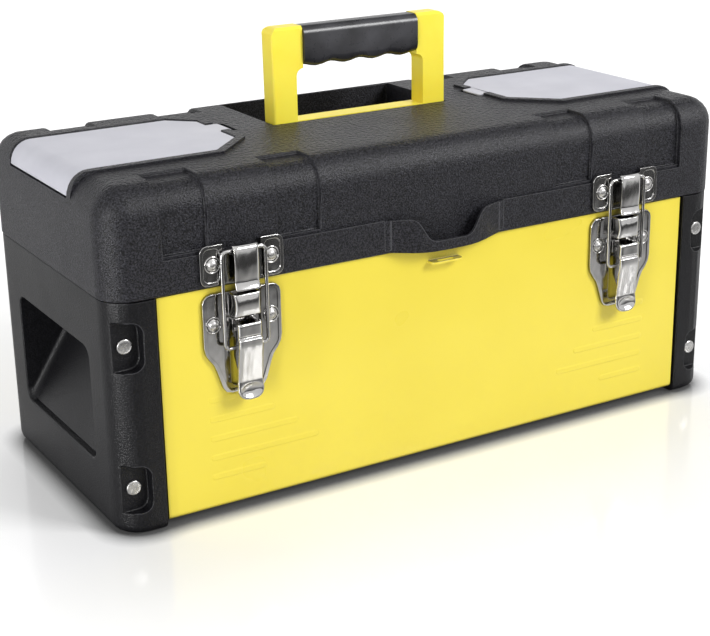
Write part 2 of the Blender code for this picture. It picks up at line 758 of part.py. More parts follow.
shaped(lid, "DIFFERENCE", prism(lip_slot, "Z", lip_low - LIP_FLOOR, pocket_floor_z + LIP_FLOOR))

pin_outer = well_half + LID_WALL
pin_inner = HANDLE_WIDTH / 2 - PIVOT_DEPTH
shaped(
    lid,
    "DIFFERENCE",
    gathered(
        rod(HANDLE_Y, handle_z, PIVOT_PIN + GAP, "X", near, far)
        for near, far in (
            (-pin_outer - LID_WALL, -well_half + LID_WALL / 2),
            (well_half - LID_WALL / 2, pin_outer + LID_WALL),
        )
    ),
)


# Organiser covers: thin milky lids that follow the end rounding down to a hinge barrel.
for side, label in ((-1, "left"), (1, "right")):
    start = COVER_INNER
    outer = end_profile(COVER_DROP, cover_axis_z, start)
    barrel = arc(cover_axis_x, cover_axis_z, COVER_THICK / 2, 0, -180, 6)[1:-1]
    inner = end_profile(COVER_DROP + COVER_THICK, cover_axis_z, start)[::-1]
    skin = prism(sided(outer + barrel + inner, side), "Y", -COVER_FRONT, COVER_BACK)
    pivot = (side * cover_axis_x, 0, cover_axis_z)
    cover = piece(f"{label}_organiser_cover", skin, milky_plastic, pivot)
    corners = (
        [
            (COVER_INNER - COVER_FRONT_CHAMFER, -COVER_FRONT - GAP),
            (COVER_INNER + COVER_FRONT_CHAMFER + GAP, -COVER_FRONT - GAP),
            (COVER_INNER - GAP, -COVER_FRONT + COVER_FRONT_CHAMFER),
            (COVER_INNER - COVER_FRONT_CHAMFER, -COVER_FRONT + COVER_FRONT_CHAMFER),
        ],
        [
            (COVER_INNER - COVER_BACK_CHAMFER, COVER_BACK + GAP),
            (COVER_INNER - COVER_BACK_CHAMFER, COVER_BACK - COVER_BACK_CHAMFER),
            (COVER_INNER - GAP, COVER_BACK - COVER_BACK_CHAMFER),
            (COVER_INNER + COVER_BACK_CHAMFER + GAP, COVER_BACK + GAP),
        ],
    )
    cut = gathered(prism(sided(corner, side), "Z", bin_floor, above) for corner in corners)
    shaped(cover, "DIFFERENCE", cut)
    tongue = rounded(COVER_INNER - TAB_REACH, COVER_INNER + SEAT_WIDTH, TAB_FRONT, tab_back, 0.003, 3)
    tongue_low = cover_low + (COVER_THICK - TAB_THICK) / 2
    shaped(cover, "UNION", prism(sided(tongue, side), "Z", tongue_low, tongue_low + TAB_THICK))
    stub_spans = (
        (-COVER_FRONT - COVER_STUB, -COVER_FRONT + COVER_STUB),
        (COVER_BACK - COVER_STUB, COVER_BACK + COVER_STUB),
    )
    stubs = [rod(side * cover_axis_x, cover_axis_z, STUB_RADIUS, "Y", a, b, 12) for a, b in stub_spans]
    shaped(cover, "UNION", gathered(stubs))


# Handle: a closed yellow loop that folds back into its well, with a rubber hold on the top bar.
handle_pivot = (0, HANDLE_Y, handle_z)
half_thick = HANDLE_THICK / 2
front_y = HANDLE_Y - half_thick
back_y = HANDLE_Y + half_thick
chamfer = HANDLE_THICK / 8
loop_section = arc(HANDLE_Y, handle_z, half_thick, 180, 360, 10)
loop_section += [
    (back_y, handle_top - chamfer),
    (back_y - chamfer, handle_top),
    (front_y + chamfer, handle_top),
    (front_y, handle_top - chamfer),
]
handle_half = HANDLE_WIDTH / 2
frame = piece(
    "handle_frame", prism(loop_section, "X", -handle_half, handle_half), yellow_plastic, handle_pivot
)
corners = rounded(-handle_half, handle_half, handle_z - HANDLE_THICK, handle_top, HANDLE_CORNER, 5)
shaped(frame, "INTERSECT", prism(corners, "Y", front_y - chamfer, back_y + chamfer))
hold_low = handle_top - HOLD_HEIGHT
window_half = handle_half - UPRIGHT_WIDTH
hold_half = HOLD_LENGTH / 2
fillet = window_half - hold_half
window = [(hold_half, handle_top + chamfer), (-hold_half, handle_top + chamfer)]
window += arc(-hold_half, hold_low - fillet, fillet, 90, 180)
window += [(-window_half, lid_top + GAP), (window_half, lid_top + GAP)]
window += arc(hold_half, hold_low - fillet, fillet, 0, 90)
shaped(frame, "DIFFERENCE", prism(window, "Y", front_y - chamfer, back_y + chamfer))
core_z = handle_top - HOLD_HEIGHT / 2
core = rounded(
    HANDLE_Y - CORE_THICK / 2,
    HANDLE_Y + CORE_THICK / 2,
    core_z - CORE_HEIGHT / 2,
    core_z + CORE_HEIGHT / 2,
    CORE_THICK / 4,
    2,
)
overlap = UPRIGHT_WIDTH / 3
shaped(frame, "UNION", prism(core, "X", -hold_half - overlap, hold_half + overlap))
pin_bores = [
    rod(HANDLE_Y, handle_z, PIVOT_PIN + GAP, "X", side * (pin_inner - GAP), side * (handle_half + WELL_CLEAR))
    for side in (-1, 1)
]
shaped(frame, "DIFFERENCE", gathered(pin_bores))

hold_rings = []
hold_steps = 6 * HOLD_BUMPS
hold_end = hold_half - GAP
for k in range(hold_steps + 1):
    x = -hold_end + 2 * hold_end * k / hold_steps
    scallop = BUMP_DEPTH * (0.5 - 0.5 * math.cos(2 * math.pi * HOLD_BUMPS * k / hold_steps))
    outline = rounded(
        HANDLE_Y - HOLD_THICK / 2,
        HANDLE_Y + HOLD_THICK / 2,
        hold_low + BUMP_DEPTH - scallop,
        handle_top - GAP,
        HOLD_CORNER,
        3,
    )
    hold_rings.append([(x, y, z) for y, z in outline])
hold = piece("handle_grip", loft(hold_rings), grip_rubber, handle_pivot)
bore = rounded(
    HANDLE_Y - CORE_THICK / 2 - GAP,
    HANDLE_Y + CORE_THICK / 2 + GAP,
    core_z - CORE_HEIGHT / 2 - GAP,
    core_z + CORE_HEIGHT / 2 + GAP,
    CORE_THICK / 4,
    2,
)
shaped(hold, "DIFFERENCE", prism(bore, "X", -handle_half, handle_half))

for side, label in ((-1, "left"), (1, "right")):
    pin = rod(HANDLE_Y, handle_z, PIVOT_PIN, "X", side * pin_inner, side * (pin_outer + LID_WALL / 2))
    piece(f"handle_pin_{label}", pin, bright_steel)


# Draw latches: a riveted plate with a bridge and lugs, a pressed lever, a wire bail and a hooked keeper.
def wire(path, radius, sides=8):
    """A round wire along points in one plane that holds the X axis."""
    along = Vector(path[-1]) - Vector(path[0])
    rise = max((Vector(p) - Vector(path[0]) for p in path), key=lambda v: v.length_squared - v.x * v.x)
    normal = along.cross(rise).normalized()
    rings = []
    for k, point in enumerate(path):
        before = Vector(path[max(k - 1, 0)])
        after = Vector(path[min(k + 1, len(path) - 1)])
        sideways = normal.cross((after - before).normalized())
        turns = [2 * math.pi * n / sides for n in range(sides)]
        rings.append(
            [Vector(point) + radius * (math.cos(a) * normal + math.sin(a) * sideways) for a in turns]
        )
    return loft(rings)


def plate_outline(inset):
    """The latch plate's outline about its own middle, drawn in by inset."""
    half = PLATE_WIDTH / 2 - inset
    shoulder = plate_top - PLATE_SHOULDER
    radius = PLATE_CORNER - inset
    flank = [
        (0, plate_low + inset),
        (PLATE_FOOT / 2 - inset, plate_low + inset),
        (PLATE_WAIST / 2 - inset, shoulder - PLATE_WAIST_RUN),
        (half, shoulder),
        (half, plate_top - PLATE_CORNER),
    ]
    edge = eased(flank, PLATE_EASE - inset, 2)[1:-1]
    edge += arc(half - radius, plate_top - inset - radius, radius, 0, 90, 3)
    return edge + mirrored(edge)


plate_back = -(panel_half + GAP)
plate_low = plate_top - PLATE_HEIGHT
lever_half = LEVER_WIDTH / 2
lever_inner = lever_half - LEVER_SHEET
lug_outer = lever_inner - 2 * GAP
lever_face = lever_y - LUG_RADIUS - LEVER_CLEAR
lever_mid = lever_face - LEVER_STEP
bend_low = lever_z - LEVER_BEND
shoulder_z = bend_low - LEVER_STEP - LEVER_SHOULDER
tail_z = lever_z - LEVER_DROP
flare_z = lever_z - LEVER_FLARE_DROP
cheek_low = lever_z - LEVER_CHEEK_DROP
cheek_tuck = LEVER_TUCK * (shoulder_z - cheek_low) / (shoulder_z - flare_z)
keeper_back = -(lid_half_y + GAP)
keeper_front = keeper_back - KEEPER_THICK
keeper_low = BASE_HEIGHT + KEEPER_RISE
keeper_top = keeper_low + KEEPER_HEIGHT
hook_face = bail_y - BAIL_WIRE / 2 - HOOK_CLEAR
plate_rivet_z = plate_top - PLATE_RIVET_DROP
keeper_rivet_z = keeper_low + KEEPER_RIVET_RISE

for side, label in ((-1, "left"), (1, "right")):
    x0 = side * latch_x

    half = PLATE_WIDTH / 2
    plates = []
    for inset, face in ((0, plate_front - RIM_BEAD), (BEAD_WIDTH, plate_front - 2 * RIM_BEAD)):
        back = plate_front if inset else plate_back
        plates.append(prism([(x0 + u, z) for u, z in plate_outline(inset)], "Y", face, back))
    plate = piece(f"latch_plate_{label}", plates[0], bright_steel)
    shaped(plate, "DIFFERENCE", plates[1])
    window = rounded(
        x0 - PLATE_WINDOW / 2,
        x0 + PLATE_WINDOW / 2,
        plate_low + PLATE_FOOT_BAR,
        lever_z - LUG_RADIUS - 2 * PLATE_THICK,
        0.003,
        3,
    )
    shaped(plate, "DIFFERENCE", prism(window, "Y", plate_front - PLATE_THICK, plate_back + PLATE_THICK))
    bridge_top = plate_top - BRIDGE_DROP
    wide = BRIDGE_WIDTH / 2
    reach = plate_front - BRIDGE_REACH
    root = plate_front + PLATE_THICK / 2
    bridge = [
        (x0 - wide, root),
        (x0 - wide, reach + BRIDGE_WALL),
        (x0 - wide + BRIDGE_WALL, reach),
        (x0 + wide - BRIDGE_WALL, reach),
        (x0 + wide, reach + BRIDGE_WALL),
        (x0 + wide, root),
        (x0 + wide - BRIDGE_WALL, root),
        (x0 + wide - BRIDGE_WALL, reach + BRIDGE_WALL),
        (x0 - wide + BRIDGE_WALL, reach + BRIDGE_WALL),
        (x0 - wide + BRIDGE_WALL, root),
    ]
    shaped(plate, "UNION", prism(bridge, "Z", bridge_top - BRIDGE_HEIGHT, bridge_top))
    nose = arc(lever_y, lever_z, LUG_RADIUS, 90, 270, 8)
    lug = nose + [(root, lever_z - LUG_RADIUS), (root, lever_z + LUG_RADIUS)]
    lugs = [prism(lug, "X", x0 + a, x0 + a + LUG_THICK) for a in (-lug_outer, lug_outer - LUG_THICK)]
    shaped(plate, "UNION", gathered(lugs))
    shaped(plate, "DIFFERENCE", rod(lever_y, lever_z, LEVER_PIN + GAP, "X", x0 - half, x0 + half, 12))

    middle = lever_face - LEVER_SHEET / 2
    lever_line = [
        (middle, lever_z + LEVER_RISE),
        (middle, bend_low),
        (middle - LEVER_STEP, bend_low - LEVER_STEP),
        (middle - LEVER_STEP, shoulder_z),
        (middle - LEVER_STEP + LEVER_TUCK, flare_z),
        (middle - LEVER_STEP + LEVER_TUCK - LEVER_FLARE, tail_z),
    ]
    strip = folded(eased(lever_line, LEVER_EASE, 2), LEVER_SHEET)
    lever = piece(
        f"latch_lever_{label}",
        prism(strip, "X", x0 - lever_half, x0 + lever_half),
        bright_steel,
        (x0, lever_y, lever_z),
    )
    cheek = [
        (lever_face - LEVER_SHEET / 2, lever_z + LEVER_RISE),
        (lever_face - LEVER_SHEET / 2, bend_low),
        (lever_mid - LEVER_SHEET / 2, bend_low - LEVER_STEP),
        (lever_mid - LEVER_SHEET / 2, shoulder_z),
        (lever_mid - LEVER_SHEET / 2 + cheek_tuck, cheek_low),
        (lever_y + LEVER_CHEEK, cheek_low + 3 * LEVER_CHEEK),
        (lever_y + LEVER_CHEEK, lever_z - LUG_RADIUS),
    ]
    cheek += arc(lever_y, lever_z, LUG_RADIUS, 0, 90, 5)
    cheek_spans = ((x0 - lever_half, x0 - lever_inner), (x0 + lever_inner, x0 + lever_half))
    shaped(lever, "UNION", gathered(prism(cheek, "X", a, b) for a, b in cheek_spans))
    bores = [
        rod(lever_y, lever_z, LEVER_PIN + GAP, "X", x0 - half, x0 + half, 12),
        rod(bail_y, bail_z, BAIL_WIRE / 2 + GAP, "X", x0 - half, x0 + half, 12),
    ]
    shaped(lever, "DIFFERENCE", gathered(bores))
    tail_side = lever_half + GAP
    tail_top = lever_z + LUG_RADIUS + LEVER_RISE
    tail_inner = tail_side - TAIL_CORNER
    tail = [(x0 + tail_side, tail_top), (x0 - tail_side, tail_top)]
    tail += arc(x0 - tail_inner, tail_z + TAIL_CORNER, TAIL_CORNER, 180, 270)
    tail += arc(x0 + tail_inner, tail_z + TAIL_CORNER, TAIL_CORNER, 270, 360)
    shaped(lever, "INTERSECT", prism(tail, "Y", lever_y - half, lever_y + half))
    pin_reach = lever_half + 2 * GAP
    lever_pin = rod(lever_y, lever_z, LEVER_PIN, "X", x0 - pin_reach, x0 + pin_reach, 12)
    piece(f"latch_pin_{label}", lever_pin, rivet_look)

    leg = BAIL_WIDTH / 2
    bend = BAIL_BEND
    foot = lever_inner - 4 * GAP
    corner_low = arc(leg - bend, bail_z + bend, bend, -90, 0, 3)
    corner_top = arc(leg - bend, bail_top - bend, bend, 0, 90, 3)
    half_path = [(foot, bail_z)] + corner_low + corner_top
    path = [(x0 - u, bail_y, z) for u, z in half_path] + [(x0 + u, bail_y, z) for u, z in half_path[::-1]]
    piece(f"latch_bail_{label}", wire(path, BAIL_WIRE / 2), bright_steel, (x0, bail_y, bail_z))

    half = KEEPER_WIDTH / 2
    notch = KEEPER_NOTCH / 2
    corner = KEEPER_CORNER
    ear = arc(half - corner, keeper_low + corner, corner, -90, 0, 4)
    ear += arc(half - corner, keeper_top - corner, corner, 0, 90, 4)
    ear += [(notch, keeper_top), (notch, hook_top)]
    outline = [(x0 + u, z) for u, z in ear + mirrored(ear)]
    keeper = piece(
        f"latch_keeper_{label}",
        prism(outline, "Y", keeper_front - RIM_BEAD, keeper_back),
        bright_steel,
        (0, hinge_y, hinge_z),
    )
    dish = rounded(
        notch + BEAD_WIDTH,
        half - BEAD_WIDTH,
        keeper_low + BEAD_WIDTH,
        keeper_top - BEAD_WIDTH,
        corner - BEAD_WIDTH / 2,
        3,
    )
    dishes = []
    for outline in (dish, mirrored(dish)):
        dished = [(x0 + u, z) for u, z in outline]
        dishes.append(prism(dished, "Y", keeper_front - 2 * RIM_BEAD, keeper_front))
    shaped(keeper, "DIFFERENCE", gathered(dishes))
    fold = KEEPER_THICK
    strap_y = hook_face - fold / 2
    strap_foot = BASE_HEIGHT - HOOK_DROP
    strap_line = [
        (strap_y, hook_top + HOOK_LIP),
        (strap_y, strap_foot + HOOK_KICK_RISE),
        (strap_y - HOOK_KICK, strap_foot),
    ]
    strap = folded(eased(strap_line, HOOK_KICK_RISE / 3), fold)
    shelf = (x0 - HOOK_WIDTH / 2 + GAP, x0 + HOOK_WIDTH / 2 - GAP, strap_y, keeper_back - fold / 2)
    shaped(keeper, "UNION", block(*shelf, hook_top - fold, hook_top))
    shaped(keeper, "UNION", prism(strap, "X", x0 - HOOK_WIDTH / 2, x0 + HOOK_WIDTH / 2))

    for u, place in ((-LATCH_RIVET_SPREAD / 2, "outer"), (LATCH_RIVET_SPREAD / 2, "inner")):
        x = x0 + u * -side
        shank = LATCH_RIVET_SHANK
        head = LATCH_RIVET_HEAD
        plate_hole = (x, plate_rivet_z, shank, plate_front - PLATE_THICK, -panel_half + 2 * SHEET)
        shaped(plate, "DIFFERENCE", rivet_hole(*plate_hole))
        shaped(tray, "DIFFERENCE", rivet_hole(*plate_hole))
        rivet(f"latch_rivet_{label}_{place}", x, plate_rivet_z, plate_front, -panel_half + SHEET, head, shank)
        keeper_hole = (x, keeper_rivet_z, shank, keeper_front - KEEPER_THICK, -lid_inner_y + LID_WALL)
        shaped(keeper, "DIFFERENCE", rivet_hole(*keeper_hole))
        shaped(lid, "DIFFERENCE", rivet_hole(*keeper_hole))
        rivet(f"keeper_rivet_{label}_{place}", x, keeper_rivet_z, keeper_front, -lid_inner_y, head, shank)


# Rear hinges: a leaf on the tray with two knuckles, a leaf on the lid with one, and a pin.
base_leaf_face = panel_half + GAP
lid_leaf_face = lid_half_y + GAP
leaf_top_face = hinge_y - KNUCKLE_RADIUS
jog_top = hinge_z - LEAF_JOG_DROP
jog_low = jog_top - LEAF_JOG_RUN
third = HINGE_WIDTH / 3

for side, label in ((-1, "left"), (1, "right")):
    x0 = side * hinge_x
    half = HINGE_WIDTH / 2
    spans = ((x0 - half, x0 - third / 2 - GAP), (x0 + third / 2 + GAP, x0 + half))
    middle = (x0 - third / 2, x0 + third / 2)

    leaf_line = [
        (base_leaf_face, hinge_z - BASE_LEAF_HEIGHT),
        (base_leaf_face, jog_low),
        (leaf_top_face, jog_top),
        (leaf_top_face, hinge_z),
    ]
    leaf = leaf_line + [(y + HINGE_LEAF, z) for y, z in leaf_line[::-1]]
    base_leaf = piece(f"hinge_base_leaf_{label}", prism(leaf, "X", x0 - half, x0 + half), hinge_steel)
    relief = rod(hinge_y, hinge_z, KNUCKLE_RADIUS + GAP, "X", middle[0] - GAP, middle[1] + GAP, 14)
    shaped(base_leaf, "DIFFERENCE", relief)
    knuckles = [rod(hinge_y, hinge_z, KNUCKLE_RADIUS, "X", a, b, 14) for a, b in spans]
    shaped(base_leaf, "UNION", gathered(knuckles))
    bore = rod(hinge_y, hinge_z, HINGE_PIN + GAP, "X", x0 - 2 * half, x0 + 2 * half, 10)
    shaped(base_leaf, "DIFFERENCE", bore)

    leaf = [
        (lid_leaf_face, hinge_z),
        (lid_leaf_face + HINGE_LEAF, hinge_z),
        (lid_leaf_face + HINGE_LEAF, hinge_z + LID_LEAF_HEIGHT),
        (lid_leaf_face, hinge_z + LID_LEAF_HEIGHT),
    ]
    lid_leaf = piece(
        f"hinge_lid_leaf_{label}",
        prism(leaf, "X", x0 - half, x0 + half),
        hinge_steel,
        (0, hinge_y, hinge_z),
    )
    reliefs = [
        rod(hinge_y, hinge_z, KNUCKLE_RADIUS + GAP, "X", x0 - 2 * half, spans[0][1] + GAP, 14),
        rod(hinge_y, hinge_z, KNUCKLE_RADIUS + GAP, "X", spans[1][0] - GAP, x0 + 2 * half, 14),
    ]
    shaped(lid_leaf, "DIFFERENCE", gathered(reliefs))
    shaped(lid_leaf, "UNION", rod(hinge_y, hinge_z, KNUCKLE_RADIUS, "X", *middle, 14))
    bore = rod(hinge_y, hinge_z, HINGE_PIN + GAP, "X", x0 - 2 * half, x0 + 2 * half, 10)
    shaped(lid_leaf, "DIFFERENCE", bore)
    pin = rod(hinge_y, hinge_z, HINGE_PIN, "X", x0 - half - 2 * GAP, x0 + half + 2 * GAP, 12)
    piece(f"hinge_pin_{label}", pin, rivet_look)

    for u, place in ((-HINGE_RIVET_SPREAD / 2, "outer"), (HINGE_RIVET_SPREAD / 2, "inner")):
        x = x0 + u * -side
        head = HINGE_RIVET_HEAD
        shank = HINGE_RIVET_SHANK
        z = hinge_z - BASE_LEAF_HEIGHT + HINGE_RIVET_EDGE
        hole = (x, z, shank, panel_half - 2 * SHEET, base_leaf_face + 2 * HINGE_LEAF)
        shaped(base_leaf, "DIFFERENCE", rivet_hole(*hole))
        shaped(tray, "DIFFERENCE", rivet_hole(*hole))
        seat = base_leaf_face + HINGE_LEAF
        rivet(f"hinge_base_rivet_{label}_{place}", x, z, seat, panel_half - SHEET, head, shank)
        z = hinge_z + LID_LEAF_HEIGHT - HINGE_RIVET_EDGE
        hole = (x, z, shank, lid_inner_y - LID_WALL, lid_leaf_face + 2 * HINGE_LEAF)
        shaped(lid_leaf, "DIFFERENCE", rivet_hole(*hole))
        shaped(lid, "DIFFERENCE", rivet_hole(*hole))
        seat = lid_leaf_face + HINGE_LEAF
        rivet(f"hinge_lid_rivet_{label}_{place}", x, z, seat, lid_inner_y, head, shank)
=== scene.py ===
import math

import bmesh
import bpy
from mathutils import Matrix, Vector
from mathutils.geometry import intersect_point_line


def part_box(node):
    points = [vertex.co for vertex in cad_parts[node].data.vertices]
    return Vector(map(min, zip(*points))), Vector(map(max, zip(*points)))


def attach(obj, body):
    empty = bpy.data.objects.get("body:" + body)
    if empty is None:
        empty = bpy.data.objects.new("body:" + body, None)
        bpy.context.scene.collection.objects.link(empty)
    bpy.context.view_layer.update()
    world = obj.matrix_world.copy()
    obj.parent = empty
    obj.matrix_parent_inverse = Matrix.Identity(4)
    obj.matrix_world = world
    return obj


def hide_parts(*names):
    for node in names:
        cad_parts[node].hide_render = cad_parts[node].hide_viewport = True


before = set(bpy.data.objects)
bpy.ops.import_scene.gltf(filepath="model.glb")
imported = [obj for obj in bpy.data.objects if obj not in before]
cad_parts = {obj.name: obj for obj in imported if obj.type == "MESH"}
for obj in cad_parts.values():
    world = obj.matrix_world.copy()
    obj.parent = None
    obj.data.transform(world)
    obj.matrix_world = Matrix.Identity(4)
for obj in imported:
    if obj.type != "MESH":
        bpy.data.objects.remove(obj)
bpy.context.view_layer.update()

# Camera: 1.2 m off, left of the front and twenty degrees above the box,
# with a slight tilt, as the photograph was taken.
SENSOR_WIDTH_MM = 36.0
FOCAL_LENGTH_MM = 80.18
CAMERA_PLACE = (-0.59914, -0.99423, 0.48796)
CAMERA_HEADING = -30.541
CAMERA_PITCH = 70.488
CAMERA_TILT = -0.976

scene = bpy.context.scene
lens = bpy.data.cameras.new("photo_lens")
lens.sensor_width = SENSOR_WIDTH_MM
lens.lens = FOCAL_LENGTH_MM
camera = bpy.data.objects.new("photo_camera", lens)
camera.matrix_world = (
    Matrix.Translation(CAMERA_PLACE)
    @ Matrix.Rotation(math.radians(CAMERA_HEADING), 4, "Z")
    @ Matrix.Rotation(math.radians(CAMERA_PITCH), 4, "X")
    @ Matrix.Rotation(math.radians(CAMERA_TILT), 4, "Z")
)
scene.collection.objects.link(camera)
scene.camera = camera
scene.view_settings.view_transform = "Standard"

# Studio: a pale, faintly polished floor, an even white surround, three soft lamps and a low strip.
# Two grey cards, seen only in reflections, give the plated and the black pieces dark streaks.
# The floor is darkest right beside the box, where a contact shadow is painted into it, and paler
# further off.
WHITE = (1.0, 1.0, 1.0, 1.0)
BLACK = (0.0, 0.0, 0.0, 1.0)
SURROUND_LIGHT = 0.30
SURROUND_SEEN = 1.0
NOOK_SAMPLES = 8
FLOOR_GREY = (0.74, 0.74, 0.74, 1.0)
FLOOR_HALF_SIZE = (4.0, 4.0)
FLOOR_PLACE = (0.0, 0.0, 0.0)
FELT_PALE = 0.62
FELT_DARK = 0.05
CARDS = (
    ("floor_card", (1.35, 0.39), (-0.25, -0.71, 0.002)),
    ("ceiling_card", (1.50, 0.95), (0.70, 1.00, 1.35)),
)
LAMPS = (
    ("key_lamp", (1.25, -1.75, 1.50), 0.9, 0.9, 48.0),
    ("side_lamp", (-1.75, -1.05, 0.42), 0.40, 0.8, 15.0),
    ("back_lamp", (0.30, 1.10, 2.30), 1.3, 1.3, 23.0),
    ("corner_lamp", (-0.95, -0.30, 0.10), 0.04, 0.22, 2.0),
)
LAMP_AIM = (0.0, 0.0, 0.14)


def feed(tree, socket, source):
    """Give a socket a plain value, or the result of another node."""
    if isinstance(source, bpy.types.NodeSocket):
        tree.links.new(source, socket)
    else:
        socket.default_value = source


def worked(tree, operation, *terms):
    """One step of arithmetic on results and plain numbers."""
    step = tree.nodes.new("ShaderNodeMath")
    step.operation = operation
    for socket, term in zip(step.inputs, terms):
        feed(tree, socket, term)
    return step.outputs[0]


def spread(tree, value, to, over=(0.0, 1.0)):
    """Take a value from one span to another, held at both ends."""
    span = tree.nodes.new("ShaderNodeMapRange")
    span.inputs["From Min"].default_value, span.inputs["From Max"].default_value = over
    span.inputs["To Min"].default_value, span.inputs["To Max"].default_value = to
    tree.links.new(value, span.inputs["Value"])
    return span.outputs["Result"]


def blended(tree, share, first, second, manner="MIX"):
    """Blend two colours by a share."""
    blend = tree.nodes.new("ShaderNodeMix")
    blend.data_type = "RGBA"
    blend.blend_type = manner
    feed(tree, blend.inputs["Factor"], share)
    feed(tree, blend.inputs["A"], first)
    feed(tree, blend.inputs["B"], second)
    return blend.outputs["Result"]


def openness(tree, reach, inside=False):
    """How open a spot is, and so less in a nook, or near an edge when felt from inside."""
    nook = tree.nodes.new("ShaderNodeAmbientOcclusion")
    nook.samples = NOOK_SAMPLES
    nook.inside = inside
    nook.inputs["Distance"].default_value = reach
    return nook.outputs["AO"]


def new_finish(name):
    """A new finish, with its node tree and its main shader."""
    finish = bpy.data.materials.new(name)
    finish.use_nodes = True
    return finish, finish.node_tree, finish.node_tree.nodes["Principled BSDF"]


def made_from(shape, name):
    """Make an object at the origin from a finished shape."""
    mesh = bpy.data.meshes.new(name)
    shape.to_mesh(mesh)
    shape.free()
    made = bpy.data.objects.new(name, mesh)
    scene.collection.objects.link(made)
    return made


def level_sheet(name, half_size, place):
    """A plain level sheet of the studio."""
    shape = bmesh.new()
    bmesh.ops.create_grid(shape, x_segments=1, y_segments=1, size=1.0)
    bmesh.ops.scale(shape, vec=(*half_size, 1.0), verts=shape.verts)
    bmesh.ops.translate(shape, vec=place, verts=shape.verts)
    return made_from(shape, name)


world = bpy.data.worlds.new("white_surround")
scene.world = world
world.use_nodes = True
tree = world.node_tree
surround = tree.nodes["Background"]
surround.inputs["Color"].default_value = WHITE
rays = tree.nodes.new("ShaderNodeLightPath").outputs
seen = worked(tree, "MAXIMUM", rays["Is Camera Ray"], rays["Is Glossy Ray"])
seen_through = worked(tree, "MAXIMUM", seen, rays["Is Transmission Ray"])
level = spread(tree, seen_through, to=(SURROUND_LIGHT, SURROUND_SEEN))
tree.links.new(level, surround.inputs["Strength"])

pale, tree, shader = new_finish("pale_floor")
# Painted contact shadow: the floor's colour and its glow are darkened where the box stands close.
contact_shade = spread(tree, openness(tree, reach=0.018), to=(0.12, 1.0), over=(0.50, 1.0))
ground = blended(tree, contact_shade, BLACK, FLOOR_GREY)
tree.links.new(ground, shader.inputs["Base Color"])
shader.inputs["Roughness"].default_value = 0.13
shader.inputs["Specular IOR Level"].default_value = 0.40
rays = tree.nodes.new("ShaderNodeLightPath").outputs
seen = worked(tree, "MAXIMUM", rays["Is Camera Ray"], rays["Is Transmission Ray"])
place = tree.nodes.new("ShaderNodeTexCoord").outputs["Object"]
apart = tree.nodes.new("ShaderNodeVectorMath")
apart.operation = "LENGTH"
tree.links.new(place, apart.inputs[0])
far = spread(tree, apart.outputs["Value"], to=(0.26, 0.50), over=(0.25, 0.75))
shaded_lift = worked(tree, "MULTIPLY", far, contact_shade)
lift = worked(tree, "MULTIPLY", seen, shaded_lift)
shader.inputs["Emission Color"].default_value = WHITE
tree.links.new(lift, shader.inputs["Emission Strength"])
floor = level_sheet("studio_floor", FLOOR_HALF_SIZE, FLOOR_PLACE)
floor.data.materials.append(pale)

felt, tree, shader = new_finish("grey_felt")
place = tree.nodes.new("ShaderNodeTexCoord").outputs["Object"]
apart = tree.nodes.new("ShaderNodeSeparateXYZ")
tree.links.new(place, apart.inputs["Vector"])
nearness = worked(tree, "ABSOLUTE", apart.outputs["Y"])
fade = spread(tree, nearness, to=(FELT_PALE, FELT_DARK), over=(0.32, 0.58))
tree.links.new(fade, shader.inputs["Base Color"])
shader.inputs["Roughness"].default_value = 1.0
shader.inputs["Specular IOR Level"].default_value = 0.0
for name, half_size, place in CARDS:
    card = level_sheet(name, half_size, place)
    card.data.materials.append(felt)
    card.visible_camera = False
    card.visible_diffuse = False
    card.visible_shadow = False

for name, place, width, height, power in LAMPS:
    lamp = bpy.data.lights.new(name, "AREA")
    lamp.shape = "RECTANGLE"
    lamp.size = width
    lamp.size_y = height
    lamp.energy = power
    holder = bpy.data.objects.new(name, lamp)
    holder.location = place
    toward = Vector(LAMP_AIM) - Vector(place)
    holder.rotation_euler = toward.to_track_quat("-Z", "Y").to_euler()
    scene.collection.objects.link(holder)

# Tray: one sheet of painted steel, bent to a floor and two walls, with ribs pressed in its front.
# The bends and cut edges get the small radius that a press brake and the paint leave.
# The paint has a faint orange peel, and its colour holds painted shade in the nooks behind the
# plates and caps.
TRAY_ROUNDING = 0.0003
TRAY_CREASE = 5.0
PAINT_DEEP = (0.775, 0.635, 0.058, 1.0)
PAINT_LIGHT = (0.805, 0.665, 0.065, 1.0)
MERGE_REACH = 0.000002
FLAT_WITHIN = 0.6
SHORTEST_RIM = 1.5
RIM_ROOM = 2.2
RIM_SPOTS = (0.1, 0.5, 0.9)
FLAT_FACE_WEIGHT = 100


def has_room(rim, room):
    """Whether both faces beside an edge are wide enough for its rounding."""
    first, last = (vert.co for vert in rim.verts)
    for face in rim.link_faces:
        for other in face.edges:
            if set(other.verts) & set(rim.verts):
                continue
            start, stop = (vert.co for vert in other.verts)
            for share in RIM_SPOTS:
                spot = first.lerp(last, share)
                along = intersect_point_line(spot, start, stop)[1]
                near = start.lerp(stop, max(0.0, min(1.0, along)))
                if (spot - near).length < room:
                    return False
    return True


